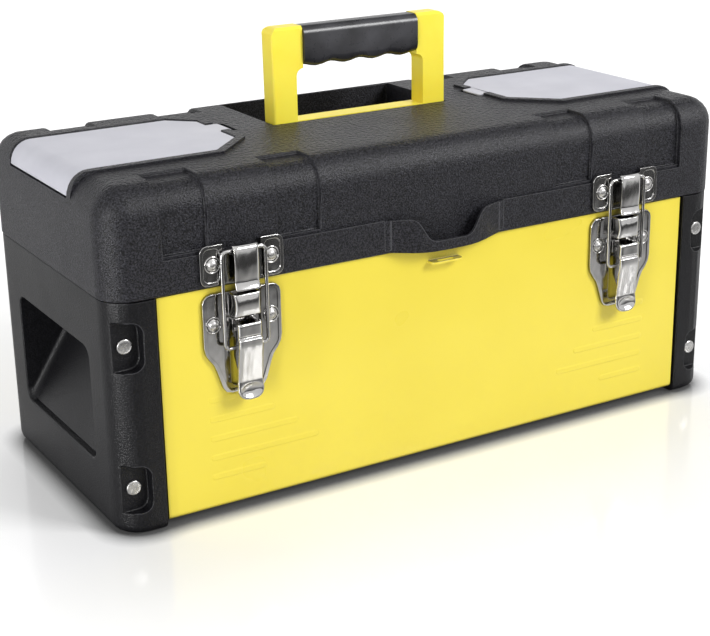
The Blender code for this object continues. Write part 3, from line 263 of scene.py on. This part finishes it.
def softened(node, name, width, segments=2, angle=32.0, weld=MERGE_REACH, crease=40.0):
    """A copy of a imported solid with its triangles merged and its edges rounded."""
    shape = bmesh.new()
    shape.from_mesh(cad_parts[node].data)
    bmesh.ops.remove_doubles(shape, verts=shape.verts, dist=weld)
    bmesh.ops.dissolve_degenerate(shape, edges=shape.edges, dist=weld)
    bmesh.ops.dissolve_limit(
        shape,
        angle_limit=math.radians(FLAT_WITHIN),
        verts=shape.verts,
        edges=shape.edges,
        use_dissolve_boundaries=False,
    )
    turn = math.radians(angle)
    rims = [rim for rim in shape.edges if rim.is_manifold and rim.calc_face_angle() > turn]
    rims = [rim for rim in rims if rim.calc_length() > SHORTEST_RIM * width]
    rims = [rim for rim in rims if has_room(rim, RIM_ROOM * width)]
    bmesh.ops.bevel(
        shape,
        geom=rims,
        offset=width,
        offset_type="OFFSET",
        segments=segments,
        profile=0.5,
        affect="EDGES",
        clamp_overlap=False,
        material=-1,
    )
    many_sided = [face for face in shape.faces if len(face.verts) > 4]
    bmesh.ops.triangulate(shape, faces=many_sided, quad_method="BEAUTY", ngon_method="BEAUTY")
    for edge in shape.edges:
        edge.smooth = edge.is_manifold and edge.calc_face_angle() < math.radians(crease)
    for vert in shape.verts:
        ways = [face.normal for face in vert.link_faces]
        if any(way.dot(other) < 0.0 for way in ways for other in ways):
            for edge in vert.link_edges:
                edge.smooth = False
    made = made_from(shape, name)
    made.data.polygons.foreach_set("use_smooth", [True] * len(made.data.polygons))
    flats = made.modifiers.new("flat_faces", "WEIGHTED_NORMAL")
    flats.weight = FLAT_FACE_WEIGHT
    flats.keep_sharp = True
    return made


def mottle(tree, place, scale, detail=2.0):
    """Soft patches over a piece, by their number to the metre."""
    patches = tree.nodes.new("ShaderNodeTexNoise")
    patches.inputs["Scale"].default_value = scale
    patches.inputs["Detail"].default_value = detail
    tree.links.new(place, patches.inputs["Vector"])
    return patches.outputs["Fac"]


def toned(tree, value, first, last, between=()):
    """Colour a value by tones, each given as its place and its colour."""
    tones = tree.nodes.new("ShaderNodeValToRGB")
    steps = tones.color_ramp.elements
    for index, (position, colour) in enumerate((first, last)):
        steps[index].position = position
        steps[index].color = colour
    for position, colour in between:
        steps.new(position).color = colour
    tree.links.new(value, tones.inputs["Fac"])
    return tones.outputs["Color"]


def raised(tree, shader, height, strength, depth):
    """Raise a grain on a finish."""
    skin = tree.nodes.new("ShaderNodeBump")
    skin.inputs["Strength"].default_value = strength
    skin.inputs["Distance"].default_value = depth
    tree.links.new(height, skin.inputs["Height"])
    tree.links.new(skin.outputs["Normal"], shader.inputs["Normal"])


yellow_paint, tree, shader = new_finish("yellow_paint")
place = tree.nodes.new("ShaderNodeTexCoord").outputs["Object"]
drift = mottle(tree, place, scale=9.0, detail=3.0)
tint = toned(tree, drift, (0.35, PAINT_DEEP), (0.65, PAINT_LIGHT))
# Painted shade: the paint's colour is darkened in nooks, where shade falls.
painted_nook_shade = spread(tree, openness(tree, reach=0.016), to=(0.08, 1.0), over=(0.20, 0.60))
tint_with_painted_shade = blended(tree, 1.0, tint, painted_nook_shade, "MULTIPLY")
tree.links.new(tint_with_painted_shade, shader.inputs["Base Color"])
tree.links.new(spread(tree, drift, to=(0.24, 0.34)), shader.inputs["Roughness"])
peel = mottle(tree, place, scale=420.0, detail=1.0)
raised(tree, shader, peel, strength=0.05, depth=0.0004)
shader.inputs["Coat Weight"].default_value = 0.25
shader.inputs["Coat Roughness"].default_value = 0.12

tray = softened("body_tray", "painted_tray", TRAY_ROUNDING, crease=TRAY_CREASE)
tray.data.materials.append(yellow_paint)
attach(tray, "base")
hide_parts("body_tray")

# End caps: black moulded plastic with a fine leather grain, pushed over the tray's ends
# and riveted. Their edges are rounded as a mould leaves them, and painted a little paler, both as
# wear and as a painted highlight.
# The grain is pale on its high spots.
CAP_ROUNDING = 0.0011
CAP_MERGE_REACH = 0.0004
CAP_PALE = 0.0085
CAP_GRAIN = 0.00018
CAP_TOP_GRAIN = 2.0
PIT_BLACK = (0.0010, 0.0010, 0.0016, 1.0)
WEAR_AND_HIGHLIGHT_GREY = (0.11, 0.11, 0.12, 1.0)
WEAR_AND_HIGHLIGHT_SHARE = (0.75, 0.75, 0.75, 1.0)
GREEN_CAST = 0.99
BLUE_CAST = 1.2
PEBBLE_SHARE = 0.55
PORE_SHARE = 2.0
GRAIN_TINT_SHARE = 0.35
MIDDLE = 0.5


def moulded_black(name, pale, depth, top_grain):
    """Black moulding: a fine leather grain, pale on its high spots and coarser on level faces."""
    plastic, tree, shader = new_finish(name)
    shader.inputs["Specular IOR Level"].default_value = 0.25
    spot = tree.nodes.new("ShaderNodeTexCoord").outputs
    place = spot["Object"]
    pebble = tree.nodes.new("ShaderNodeTexVoronoi")
    pebble.feature = "SMOOTH_F1"
    pebble.inputs["Scale"].default_value = 900.0
    pebble.inputs["Smoothness"].default_value = 0.6
    tree.links.new(place, pebble.inputs["Vector"])
    fleck = mottle(tree, place, scale=1150.0, detail=3.0)
    sand = worked(tree, "MULTIPLY_ADD", pebble.outputs["Distance"], PEBBLE_SHARE, fleck)
    pores = mottle(tree, place, scale=950.0, detail=3.0)
    leather = worked(tree, "MULTIPLY_ADD", pores, PORE_SHARE, sand)
    shade = worked(tree, "MULTIPLY", leather, GRAIN_TINT_SHARE)
    high_spot = (pale, pale * GREEN_CAST, pale * BLUE_CAST, 1.0)
    tint = toned(tree, shade, (0.52, PIT_BLACK), (0.76, high_spot))
    # Painted highlight and wear: sharp outer edges are painted a paler grey.
    rim = openness(tree, reach=0.0008, inside=True)
    wear_and_highlight = toned(tree, rim, (0.34, BLACK), (0.84, BLACK), between=[(0.52, WEAR_AND_HIGHLIGHT_SHARE)])
    tint_with_wear_and_highlight = blended(tree, wear_and_highlight, tint, WEAR_AND_HIGHLIGHT_GREY)
    tree.links.new(tint_with_wear_and_highlight, shader.inputs["Base Color"])
    cloud = mottle(tree, place, scale=22.0, detail=4.0)
    tree.links.new(spread(tree, cloud, to=(0.29, 0.43)), shader.inputs["Roughness"])
    upward = tree.nodes.new("ShaderNodeSeparateXYZ")
    tree.links.new(spot["Normal"], upward.inputs["Vector"])
    level_share = spread(tree, upward.outputs["Z"], to=(0.0, top_grain), over=(0.80, 1.0))
    crinkle = mottle(tree, place, scale=340.0, detail=3.0)
    centred = worked(tree, "SUBTRACT", crinkle, MIDDLE)
    grain = worked(tree, "MULTIPLY_ADD", centred, level_share, leather)
    raised(tree, shader, grain, strength=0.80, depth=depth)
    return plastic


cap_black = moulded_black("cap_black", pale=CAP_PALE, depth=CAP_GRAIN, top_grain=CAP_TOP_GRAIN)
for side in ("left", "right"):
    cap = softened(
        f"{side}_end_cap",
        f"{side}_cap_moulding",
        CAP_ROUNDING,
        segments=3,
        angle=45.0,
        weld=CAP_MERGE_REACH,
    )
    cap.data.materials.append(cap_black)
    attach(cap, "base")
    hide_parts(f"{side}_end_cap")

# Rivets: plain steel, domed heads set by a rivet gun, with the upset tail inside.
# Each is turned from its half section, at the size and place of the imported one.
# The sections give shares of the head's radius and of its rise.
RIVET_RISE = 0.0019
RIVET_SHANK = 0.45
RIVET_STEPS = 32
RIVET_CREASE = 50.0
TURNED_MERGE_REACH = 1e-6
STEEL_DARK = (0.42, 0.415, 0.41, 1.0)
STEEL_LIGHT = (0.60, 0.59, 0.58, 1.0)
FLAT_HEAD = (
    (0.0, 0.0), (0.55, 0.015), (0.84, 0.05), (0.95, 0.16), (0.99, 0.34), (1.0, 0.55), (1.0, 1.0),
)
DOME_HEAD = (
    (0.0, 0.0), (0.20, 0.02), (0.38, 0.10), (0.54, 0.24), (0.66, 0.44), (0.73, 0.68),
    (0.77, 0.74), (0.93, 0.74), (0.98, 0.80), (1.0, 0.88), (1.0, 1.0),
)

rivet_steel, tree, shader = new_finish("rivet_steel")
shader.inputs["Metallic"].default_value = 1.0
place = tree.nodes.new("ShaderNodeTexCoord").outputs["Object"]
scuff = mottle(tree, place, scale=380.0, detail=4.0)
tint = toned(tree, scuff, (0.30, STEEL_DARK), (0.70, STEEL_LIGHT))
tree.links.new(tint, shader.inputs["Base Color"])
tree.links.new(spread(tree, scuff, to=(0.20, 0.34)), shader.inputs["Roughness"])


def full_turn(shape, ring, edges, centre, steps):
    """Spin a section once round an axis that runs front to back."""
    bmesh.ops.spin(
        shape,
        geom=ring + edges,
        cent=centre,
        axis=(0, 1, 0),
        angle=2 * math.pi,
        steps=steps,
        use_merge=True,
        use_duplicate=False,
    )


def set_rivet(node, body, section):
    """Turn one rivet, its head on the outside of the wall that it holds."""
    low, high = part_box(node)
    x = (low.x + high.x) / 2
    z = (low.z + high.z) / 2
    head = (high.x - low.x) / 2
    at_front = low.y + high.y < 0
    tip, tail = (low.y, high.y) if at_front else (high.y, low.y)
    inward = RIVET_RISE if at_front else -RIVET_RISE
    half = [(head * share, tip + inward * drop) for share, drop in section]
    half += [(head * RIVET_SHANK, tip + inward), (head * RIVET_SHANK, tail), (0.0, tail)]
    shape = bmesh.new()
    line = [shape.verts.new((x + radius, y, z)) for radius, y in half]
    edges = [shape.edges.new(pair) for pair in zip(line, line[1:])]
    full_turn(shape, line, edges, (x, 0, z), RIVET_STEPS)
    bmesh.ops.remove_doubles(shape, verts=shape.verts, dist=TURNED_MERGE_REACH)
    bmesh.ops.recalc_face_normals(shape, faces=shape.faces)
    made = made_from(shape, f"{node}_turned")
    made.data.shade_smooth()
    made.data.set_sharp_from_angle(angle=math.radians(RIVET_CREASE))
    made.data.materials.append(rivet_steel)
    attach(made, body)
    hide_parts(node)


for node in sorted(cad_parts):
    if "rivet" in node:
        rides = "lid" if node.startswith(("keeper", "hinge_lid")) else "base"
        set_rivet(node, rides, FLAT_HEAD if node.startswith("cap") else DOME_HEAD)

# Latch plates: pressed steel with a bright nickel plate, riveted to the tray's front.
# A barrel-shaped bridge is raised at the top, each rivet has a low rim, and two lugs hold a pin.
# The pressings have soft bends and slightly wavy faces.
PLATE_ROUNDING = 0.0005
LATCH_PIN_ROUNDING = 0.0003
PLATE_DARK = (0.475, 0.47, 0.465, 1.0)
PLATE_LIGHT = (0.565, 0.555, 0.545, 1.0)
DRAWN_SCALE = (1.0, 1.0, 0.45)
FLAT_COLUMNS = 6
BEND_COLUMNS = 4
CHEEK_COLUMNS = 2
HALF_COLUMNS = FLAT_COLUMNS + BEND_COLUMNS + CHEEK_COLUMNS
SEAT_GAP = 0.0011
SEAT_BEAD = 0.0006
SEAT_BEAD_STEPS = 10
SEAT_STEPS = 36
BRIDGE_DOWN = 0.0083
BRIDGE_HALF_HEIGHT = 0.0078
BRIDGE_ROWS = 16
BRIDGE_HALF_WIDTH = 0.0100
BRIDGE_WAIST = 0.0009
BRIDGE_BOW = 0.0010
BRIDGE_CROWN = 0.0002
BRIDGE_BEND = 0.0022
BRIDGE_FOOT = 0.0012
BRIDGE_SHEET = 0.0010
SOLID_BRIDGE_FRONT = 0.0030
SOLID_BRIDGE_REACH = 0.0165

bright_plate, tree, shader = new_finish("bright_plate")
shader.inputs["Metallic"].default_value = 1.0
place = tree.nodes.new("ShaderNodeTexCoord").outputs["Object"]
drawn = tree.nodes.new("ShaderNodeMapping")
drawn.inputs["Scale"].default_value = DRAWN_SCALE
tree.links.new(place, drawn.inputs["Vector"])
wave = mottle(tree, drawn.outputs["Vector"], scale=80.0, detail=2.0)
tint = toned(tree, wave, (0.32, PLATE_DARK), (0.66, PLATE_LIGHT))
# Painted shade: the plating's colour is darkened in nooks beside other parts, standing in for shade
# and dark reflections.
painted_nook_shade = spread(tree, openness(tree, reach=0.008), to=(0.35, 1.0), over=(0.30, 0.95))
tint_with_painted_shade = blended(tree, 1.0, tint, painted_nook_shade, "MULTIPLY")
tree.links.new(tint_with_painted_shade, shader.inputs["Base Color"])
tree.links.new(spread(tree, wave, to=(0.08, 0.17)), shader.inputs["Roughness"])
raised(tree, shader, wave, strength=0.50, depth=0.0012)


def pressed_sheet(shape, heights, place, thickness):
    """Lay a grid over a pressed form, one row for each height, and thicken it inward."""
    columns = 2 * HALF_COLUMNS
    rows = len(heights) - 1
    grid = bmesh.ops.create_grid(shape, x_segments=columns, y_segments=rows, size=0.5)["verts"]
    for vert in grid:
        column = round((vert.co.x + 0.5) * columns) - HALF_COLUMNS
        vert.co = place(column, heights[round((vert.co.y + 0.5) * rows)])
    faces = list({face for vert in grid for face in vert.link_faces})
    bmesh.ops.recalc_face_normals(shape, faces=faces)
    if sum(face.normal.y for face in faces) > 0:
        bmesh.ops.reverse_faces(shape, faces=faces)
    for face in faces:
        face.smooth = True
    bmesh.ops.solidify(shape, geom=faces, thickness=thickness)


def folded(column, face, rear, wide, bend, crown=0.0):
    """How far out and back a column lies: on the crowned front, round the bend or on the cheek."""
    across = abs(column)
    if across <= FLAT_COLUMNS:
        share = across / FLAT_COLUMNS
        u = (wide - bend) * share
        y = face + crown * share**2
    elif across <= FLAT_COLUMNS + BEND_COLUMNS:
        sweep = math.radians(90 * (across - FLAT_COLUMNS) / BEND_COLUMNS)
        u = wide - bend + bend * math.sin(sweep)
        y = face + crown + bend - bend * math.cos(sweep)
    else:
        share = (across - FLAT_COLUMNS - BEND_COLUMNS) / CHEEK_COLUMNS
        u = wide
        y = face + bend + (rear - face - bend) * share
    return math.copysign(u, column), y


def rivet_seat(shape, rivet):
    """Press a low round rim into the sheet about a rivet's head."""
    first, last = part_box(rivet)
    x = (first.x + last.x) / 2
    z = (first.z + last.z) / 2
    y = first.y + RIVET_RISE
    radius = (last.x - first.x) / 2 + SEAT_GAP
    known = set(shape.faces)
    bead_place = Matrix.Translation((x + radius, y, z))
    ring = bmesh.ops.create_circle(
        shape, segments=SEAT_BEAD_STEPS, radius=SEAT_BEAD, matrix=bead_place
    )["verts"]
    edges = list({edge for vert in ring for edge in vert.link_edges})
    full_turn(shape, ring, edges, (x, y, z), SEAT_STEPS)
    faces = [face for face in shape.faces if face not in known]
    bmesh.ops.recalc_face_normals(shape, faces=faces)
    for face in faces:
        face.smooth = True


for side in ("left", "right"):
    node = f"latch_plate_{side}"
    low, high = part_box(node)
    middle = (low.x + high.x) / 2
    bridge_z = high.z - BRIDGE_DOWN
    plate = softened(node, f"{side}_latch_pressing", PLATE_ROUNDING, segments=3, angle=40.0)
    shape = bmesh.new()
    shape.from_mesh(plate.data)
    solid_bridge = []
    for face in shape.faces:
        spot = face.calc_center_median()
        if spot.y < high.y - SOLID_BRIDGE_FRONT and spot.z > high.z - SOLID_BRIDGE_REACH:
            solid_bridge.append(face)
    bmesh.ops.delete(shape, geom=solid_bridge, context="FACES")

    def bridge_point(column, z):
        """A point of the bridge, narrowest and furthest out at half its height."""
        rise = (z - bridge_z) / BRIDGE_HALF_HEIGHT
        wide = BRIDGE_HALF_WIDTH - BRIDGE_WAIST * (1 - rise**2)
        face = low.y + BRIDGE_BOW * rise**2
        u, y = folded(column, face, high.y - BRIDGE_FOOT, wide, BRIDGE_BEND, BRIDGE_CROWN)
        return (middle + u, y, z)

    drops = [2 * step / BRIDGE_ROWS for step in range(BRIDGE_ROWS + 1)]
    heights = [bridge_z + BRIDGE_HALF_HEIGHT * (1 - drop) for drop in drops]
    pressed_sheet(shape, heights, bridge_point, BRIDGE_SHEET)
    for rivet in sorted(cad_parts):
        if rivet.startswith(f"latch_rivet_{side}"):
            rivet_seat(shape, rivet)
    shape.to_mesh(plate.data)
    shape.free()
    plate.data.materials.append(bright_plate)
    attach(plate, "base")
    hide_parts(node)

    pin = softened(f"latch_pin_{side}", f"{side}_lever_pin", LATCH_PIN_ROUNDING, angle=40.0)
    pin.data.materials.append(bright_plate)
    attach(pin, "base")
    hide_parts(f"latch_pin_{side}")

# Keepers: plated steel again, two ears riveted to the lid and a strap folded out between them.
# The strap stands clear of the lid, its top rolled over the bail's bar and its sides turned back.
KEEPER_ROUNDING = 0.0003
SOLID_STRAP_BACK = 0.0029
STRAP_HEIGHT = 0.0301
STRAP_FRONT = 0.0014
STRAP_BOW = 0.0009
STRAP_BOW_DOWN = 0.013
STRAP_BOW_REACH = 0.014
STRAP_ROLL = 0.0028
STRAP_ROLL_BACK = 0.0017
STRAP_ROLL_CURVE = 2.2
STRAP_FOOT = 0.0060
STRAP_FOOT_OUT = 0.0026
STRAP_FLAT = 0.0066
STRAP_CROWN = 0.0002
STRAP_SIDE = 0.0024
STRAP_SIDE_BACK = 0.0012
STRAP_CURVE = 1.6
STRAP_SHEET = 0.0009
STRAP_ROWS = ((0.0, 0.00035, 9), (0.0040, 0.0021, 10), (0.0241, 0.0010, 7))


def row_heights(top, runs):
    """Heights of a sheet's rows, from runs that give the first drop, the spacing and the count."""
    return [top - start - gap * step for start, gap, count in runs for step in range(count)]


for side in ("left", "right"):
    node = f"latch_keeper_{side}"
    low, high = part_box(node)
    middle = (low.x + high.x) / 2
    strap_top = low.z + STRAP_HEIGHT
    keeper = softened(node, f"{side}_keeper_pressing", KEEPER_ROUNDING, segments=3, angle=40.0)
    shape = bmesh.new()
    shape.from_mesh(keeper.data)
    solid_strap_y = low.y + SOLID_STRAP_BACK
    solid_strap = [face for face in shape.faces if face.calc_center_median().y < solid_strap_y]
    bmesh.ops.delete(shape, geom=solid_strap, context="FACES")

    def strap_point(column, z):
        """A point of the strap, bowed, rolled back at its top and kicked out at its foot."""
        drop = strap_top - z
        y = low.y + STRAP_FRONT + STRAP_BOW * ((drop - STRAP_BOW_DOWN) / STRAP_BOW_REACH) ** 2
        if drop < STRAP_ROLL:
            y += STRAP_ROLL_BACK * (1 - drop / STRAP_ROLL) ** STRAP_ROLL_CURVE
        foot = STRAP_FOOT - (z - low.z)
        if foot > 0:
            y -= STRAP_FOOT_OUT * (foot / STRAP_FOOT) ** STRAP_CURVE
        across = abs(column)
        if across <= FLAT_COLUMNS:
            share = across / FLAT_COLUMNS
            u = STRAP_FLAT * share
            y += STRAP_CROWN * share**2
        else:
            share = (across - FLAT_COLUMNS) / (HALF_COLUMNS - FLAT_COLUMNS)
            u = STRAP_FLAT + STRAP_SIDE * share
            y += STRAP_CROWN + STRAP_SIDE_BACK * share**STRAP_CURVE
        return (middle + math.copysign(u, column), y, z)

    pressed_sheet(shape, row_heights(strap_top, STRAP_ROWS), strap_point, STRAP_SHEET)
    for rivet in sorted(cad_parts):
        if rivet.startswith(f"keeper_rivet_{side}"):
            rivet_seat(shape, rivet)
    shape.to_mesh(keeper.data)
    shape.free()
    keeper.data.materials.append(bright_plate)
    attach(keeper, "lid")
    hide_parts(node)

# Latch levers: one blank of the same plated steel, its sides turned back to take the pin.
# A step and a shoulder are pressed in below the pin, and a thumb hollow near the rounded end.
# The marks give the front's depth at each drop below the top.
LEVER_MARKS = (
    (0.0, 0.0022), (0.0003, 0.0014), (0.0010, 0.0010), (0.0084, 0.0010), (0.0092, 0.0013),
    (0.0098, 0.0018), (0.0104, 0.0012), (0.0112, 0.0002), (0.0118, 0.0), (0.0158, 0.0),
    (0.0176, 0.0002), (0.0410, 0.0034), (0.0541, 0.0022),
)
LEVER_ROWS = (
    (0.0, 0.0002, 6), (0.0024, 0.0021, 2), (0.0065, 0.0, 1),
    (0.0080, 0.0003, 16), (0.0142, 0.0016, 15), (0.0376, 0.0005, 33),
)
LEVER_TOP_GAP = 0.0003
LEVER_EYE = 0.0043
LEVER_HALF_WIDTH = 0.0093
LEVER_NECK = 0.0006
LEVER_NECK_START = 0.020
LEVER_NECK_RUN = 0.030
LEVER_FLARE = 0.0010
LEVER_FLARE_RUN = 0.014
LEVER_END_RADIUS = 0.0070
LEVER_BEND = 0.0019
LEVER_SHEET = 0.0009
CHEEK_BACK = 0.0030
CHEEK_TAPER_DOWN = 0.0200
CHEEK_TAPER = 0.70
CHEEK_LEAST = 0.0017
CHEEK_SPARE = 0.0001
HOLLOW_UP = 0.0062
HOLLOW_HALF_WIDTH = 0.0080
HOLLOW_HALF_HEIGHT = 0.0052
HOLLOW_DEPTH = 0.0018

for side in ("left", "right"):
    node = f"latch_lever_{side}"
    low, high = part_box(node)
    middle = (low.x + high.x) / 2
    pin_y = high.y - LEVER_EYE
    pin_z = high.z - LEVER_EYE
    top = high.z - LEVER_TOP_GAP
    tail = low.z

    def lever_point(column, z):
        """A point of the lever, from its front's marks, its width and its cheeks at this height."""
        drop = top - z
        for (above, before), (below, after) in zip(LEVER_MARKS, LEVER_MARKS[1:]):
            if drop <= below:
                break
        face = low.y + before + (after - before) * (drop - above) / (below - above)
        neck_share = max(0.0, min(1.0, (z - tail - LEVER_NECK_START) / LEVER_NECK_RUN))
        wide = LEVER_HALF_WIDTH - LEVER_NECK * neck_share
        wide += LEVER_FLARE * max(0.0, 1 - (z - tail) / LEVER_FLARE_RUN)
        end = tail + LEVER_END_RADIUS - z
        if end > 0:
            wide -= LEVER_END_RADIUS - math.sqrt(max(0.0, LEVER_END_RADIUS**2 - end**2))
        rear = pin_y + CHEEK_BACK
        if z > pin_z - CHEEK_BACK:
            rear = pin_y + math.sqrt(max(0.0, LEVER_EYE**2 - (z - pin_z) ** 2))
        rear = min(rear, pin_y + CHEEK_BACK - (pin_z - CHEEK_TAPER_DOWN - z) * CHEEK_TAPER)
        rear = max(face + CHEEK_LEAST, rear)
        u, y = folded(column, face, rear, wide, min(LEVER_BEND, rear - face - CHEEK_SPARE))
        reach = math.hypot(u / HOLLOW_HALF_WIDTH, (z - tail - HOLLOW_UP) / HOLLOW_HALF_HEIGHT)
        if reach < 1.0:
            y += HOLLOW_DEPTH * (1.0 - reach**3)
        return (middle + u, y, z)

    shape = bmesh.new()
    pressed_sheet(shape, row_heights(top, LEVER_ROWS) + [tail], lever_point, LEVER_SHEET)
    lever = made_from(shape, f"{side}_lever_pressing")
    lever.data.materials.append(bright_plate)
    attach(lever, f"{side}_lever")
    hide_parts(node)

# Bails: plated spring wire, bent to a tall loop whose feet turn inward through the lever's cheeks.
# The top bar lies behind the keeper's strap and pulls the lid down.
BAIL_BEND = 0.0035
BAIL_BEND_STEPS = 8
BAIL_FOOT = 0.0072
BAIL_ROUNDNESS = 4

for side in ("left", "right"):
    node = f"latch_bail_{side}"
    low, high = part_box(node)
    thick = (high.y - low.y) / 2
    middle = (low.x + high.x) / 2
    bend_u = (high.x - low.x) / 2 - thick - BAIL_BEND
    foot_z = low.z + thick
    bar_z = high.z - thick
    half = [(BAIL_FOOT, foot_z)]
    for start, bend_z in ((-90, foot_z + BAIL_BEND), (0, bar_z - BAIL_BEND)):
        for step in range(BAIL_BEND_STEPS + 1):
            sweep = math.radians(start + 90 * step / BAIL_BEND_STEPS)
            u = bend_u + BAIL_BEND * math.cos(sweep)
            half.append((u, bend_z + BAIL_BEND * math.sin(sweep)))
    route = [(middle - u, z) for u, z in half] + [(middle + u, z) for u, z in reversed(half)]
    wire = bpy.data.curves.new(f"{side}_bail_wire", "CURVE")
    wire.dimensions = "3D"
    wire.bevel_depth = thick
    wire.bevel_resolution = BAIL_ROUNDNESS
    wire.use_fill_caps = True
    bent = wire.splines.new("POLY")
    bent.points.add(len(route) - 1)
    for point, (x, z) in zip(bent.points, route):
        point.co = (x, (low.y + high.y) / 2, z, 1.0)
    bent.use_smooth = True
    wire.materials.append(bright_plate)
    bail = bpy.data.objects.new(f"{side}_bail_wire", wire)
    scene.collection.objects.link(bail)
    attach(bail, f"{side}_bail")
    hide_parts(node)

# Lid: the same black moulding as the end caps, one piece with its bins, handle well and lift lip.
# Its grain is deeper than the caps', and coarsest on the flat top. It swings on two rear hinges.
LID_ROUNDING = 0.0010
LID_PALE = 0.034
LID_GRAIN = 0.00028
LID_TOP_GRAIN = 20.0

lid_black = moulded_black("lid_black", pale=LID_PALE, depth=LID_GRAIN, top_grain=LID_TOP_GRAIN)
lid = softened("lid_shell", "lid_moulding", LID_ROUNDING, segments=3)
lid.data.materials.append(lid_black)
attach(lid, "lid")
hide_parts("lid_shell")

# Organiser covers: milky plastic, bent down over the lid's end, with a tongue that snaps under it.
# The faces are softly frosted and faintly blue, and the cut edges catch the light.
COVER_ROUNDING = 0.0006
MILK_DEEP = (0.54, 0.54, 0.595, 1.0)
MILK_LIGHT = (0.60, 0.60, 0.655, 1.0)
MILK_GLOW_REACH = (0.004, 0.004, 0.004)

milky, tree, shader = new_finish("milky_clear")
place = tree.nodes.new("ShaderNodeTexCoord").outputs["Object"]
haze = mottle(tree, place, scale=30.0, detail=3.0)
tint = toned(tree, haze, (0.30, MILK_DEEP), (0.72, MILK_LIGHT))
tree.links.new(tint, shader.inputs["Base Color"])
frost = mottle(tree, place, scale=900.0)
raised(tree, shader, frost, strength=0.08, depth=0.0002)
shader.inputs["Roughness"].default_value = 0.50
shader.inputs["Specular IOR Level"].default_value = 0.30
shader.inputs["Subsurface Weight"].default_value = 0.2
shader.inputs["Subsurface Radius"].default_value = MILK_GLOW_REACH

for side in ("left", "right"):
    cover = softened(f"{side}_organiser_cover", f"{side}_bin_cover", COVER_ROUNDING, segments=3)
    cover.data.materials.append(milky)
    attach(cover, f"{side}_cover")
    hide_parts(f"{side}_organiser_cover")

# Carry handle: a yellow moulded loop with rounded edges, pinned in the well's side walls.
# The hold is black rubber, shaped for four fingers below, and the pins are plain steel.
LOOP_ROUNDING = 0.0024
LOOP_DEEP = (1.00, 0.79, 0.055, 1.0)
LOOP_LIGHT = (1.00, 0.84, 0.075, 1.0)
LOOP_GLOW_RADIUS = (1.0, 0.75, 0.12)
LOOP_GLOW_REACH = 0.008
HOLD_ROUNDING = 0.0026
RUBBER_DARK = (0.006, 0.006, 0.007, 1.0)
RUBBER_WORN_AND_SHEEN = (0.055, 0.055, 0.063, 1.0)
HANDLE_PIN_ROUNDING = 0.0004

yellow_moulding, tree, shader = new_finish("yellow_moulding")
place = tree.nodes.new("ShaderNodeTexCoord").outputs["Object"]
drift = mottle(tree, place, scale=40.0, detail=4.0)
tint = toned(tree, drift, (0.30, LOOP_DEEP), (0.70, LOOP_LIGHT))
tree.links.new(tint, shader.inputs["Base Color"])
tree.links.new(spread(tree, drift, to=(0.30, 0.44)), shader.inputs["Roughness"])
satin = mottle(tree, place, scale=800.0)
raised(tree, shader, satin, strength=0.10, depth=0.0003)
shader.inputs["Subsurface Weight"].default_value = 0.25
shader.inputs["Subsurface Radius"].default_value = LOOP_GLOW_RADIUS
shader.inputs["Subsurface Scale"].default_value = LOOP_GLOW_REACH

loop = softened("handle_frame", "handle_loop", LOOP_ROUNDING, segments=4)
loop.data.materials.append(yellow_moulding)
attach(loop, "handle")
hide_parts("handle_frame")

grip_rubber, tree, shader = new_finish("grip_rubber")
place = tree.nodes.new("ShaderNodeTexCoord").outputs["Object"]
bloom = mottle(tree, place, scale=260.0, detail=5.0)
# Broad paler patches on the rubber stand for both wear and a painted sheen.
wear_and_sheen_patches = mottle(tree, place, scale=34.0, detail=3.0)
tint = toned(tree, wear_and_sheen_patches, (0.30, RUBBER_DARK), (0.75, RUBBER_WORN_AND_SHEEN))
tree.links.new(tint, shader.inputs["Base Color"])
tree.links.new(spread(tree, bloom, to=(0.22, 0.36)), shader.inputs["Roughness"])
raised(tree, shader, bloom, strength=0.15, depth=0.0003)

hold = softened("handle_grip", "handle_hold", HOLD_ROUNDING, segments=4, angle=60.0)
hold.data.materials.append(grip_rubber)
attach(hold, "handle")
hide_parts("handle_grip")

for side in ("left", "right"):
    pin = softened(f"handle_pin_{side}", f"{side}_handle_pin", HANDLE_PIN_ROUNDING, angle=40.0)
    pin.data.materials.append(rivet_steel)
    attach(pin, "lid")
    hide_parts(f"handle_pin_{side}")

# Rear hinges: zinc-plated steel leaves with rolled knuckles on a peened pin.
# One leaf of each is riveted to the tray's back wall and the other to the lid.
HINGE_ROUNDING = 0.0003
ZINC_DARK = (0.42, 0.42, 0.43, 1.0)
ZINC_LIGHT = (0.56, 0.56, 0.57, 1.0)

zinc_plate, tree, shader = new_finish("zinc_plate")
shader.inputs["Metallic"].default_value = 1.0
place = tree.nodes.new("ShaderNodeTexCoord").outputs["Object"]
spangle = tree.nodes.new("ShaderNodeTexVoronoi")
spangle.inputs["Scale"].default_value = 180.0
tree.links.new(place, spangle.inputs["Vector"])
tint = toned(tree, spangle.outputs["Distance"], (0.05, ZINC_DARK), (0.80, ZINC_LIGHT))
tree.links.new(tint, shader.inputs["Base Color"])
gloss = spread(tree, spangle.outputs["Distance"], to=(0.30, 0.44))
tree.links.new(gloss, shader.inputs["Roughness"])

for side in ("left", "right"):
    for node, body in (
        (f"hinge_base_leaf_{side}", "base"),
        (f"hinge_lid_leaf_{side}", "lid"),
        (f"hinge_pin_{side}", "base"),
    ):
        leaf = softened(node, f"{node}_plated", HINGE_ROUNDING, angle=40.0)
        leaf.data.materials.append(zinc_plate)
        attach(leaf, body)
        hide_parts(node)

bpy.context.view_layer.update()
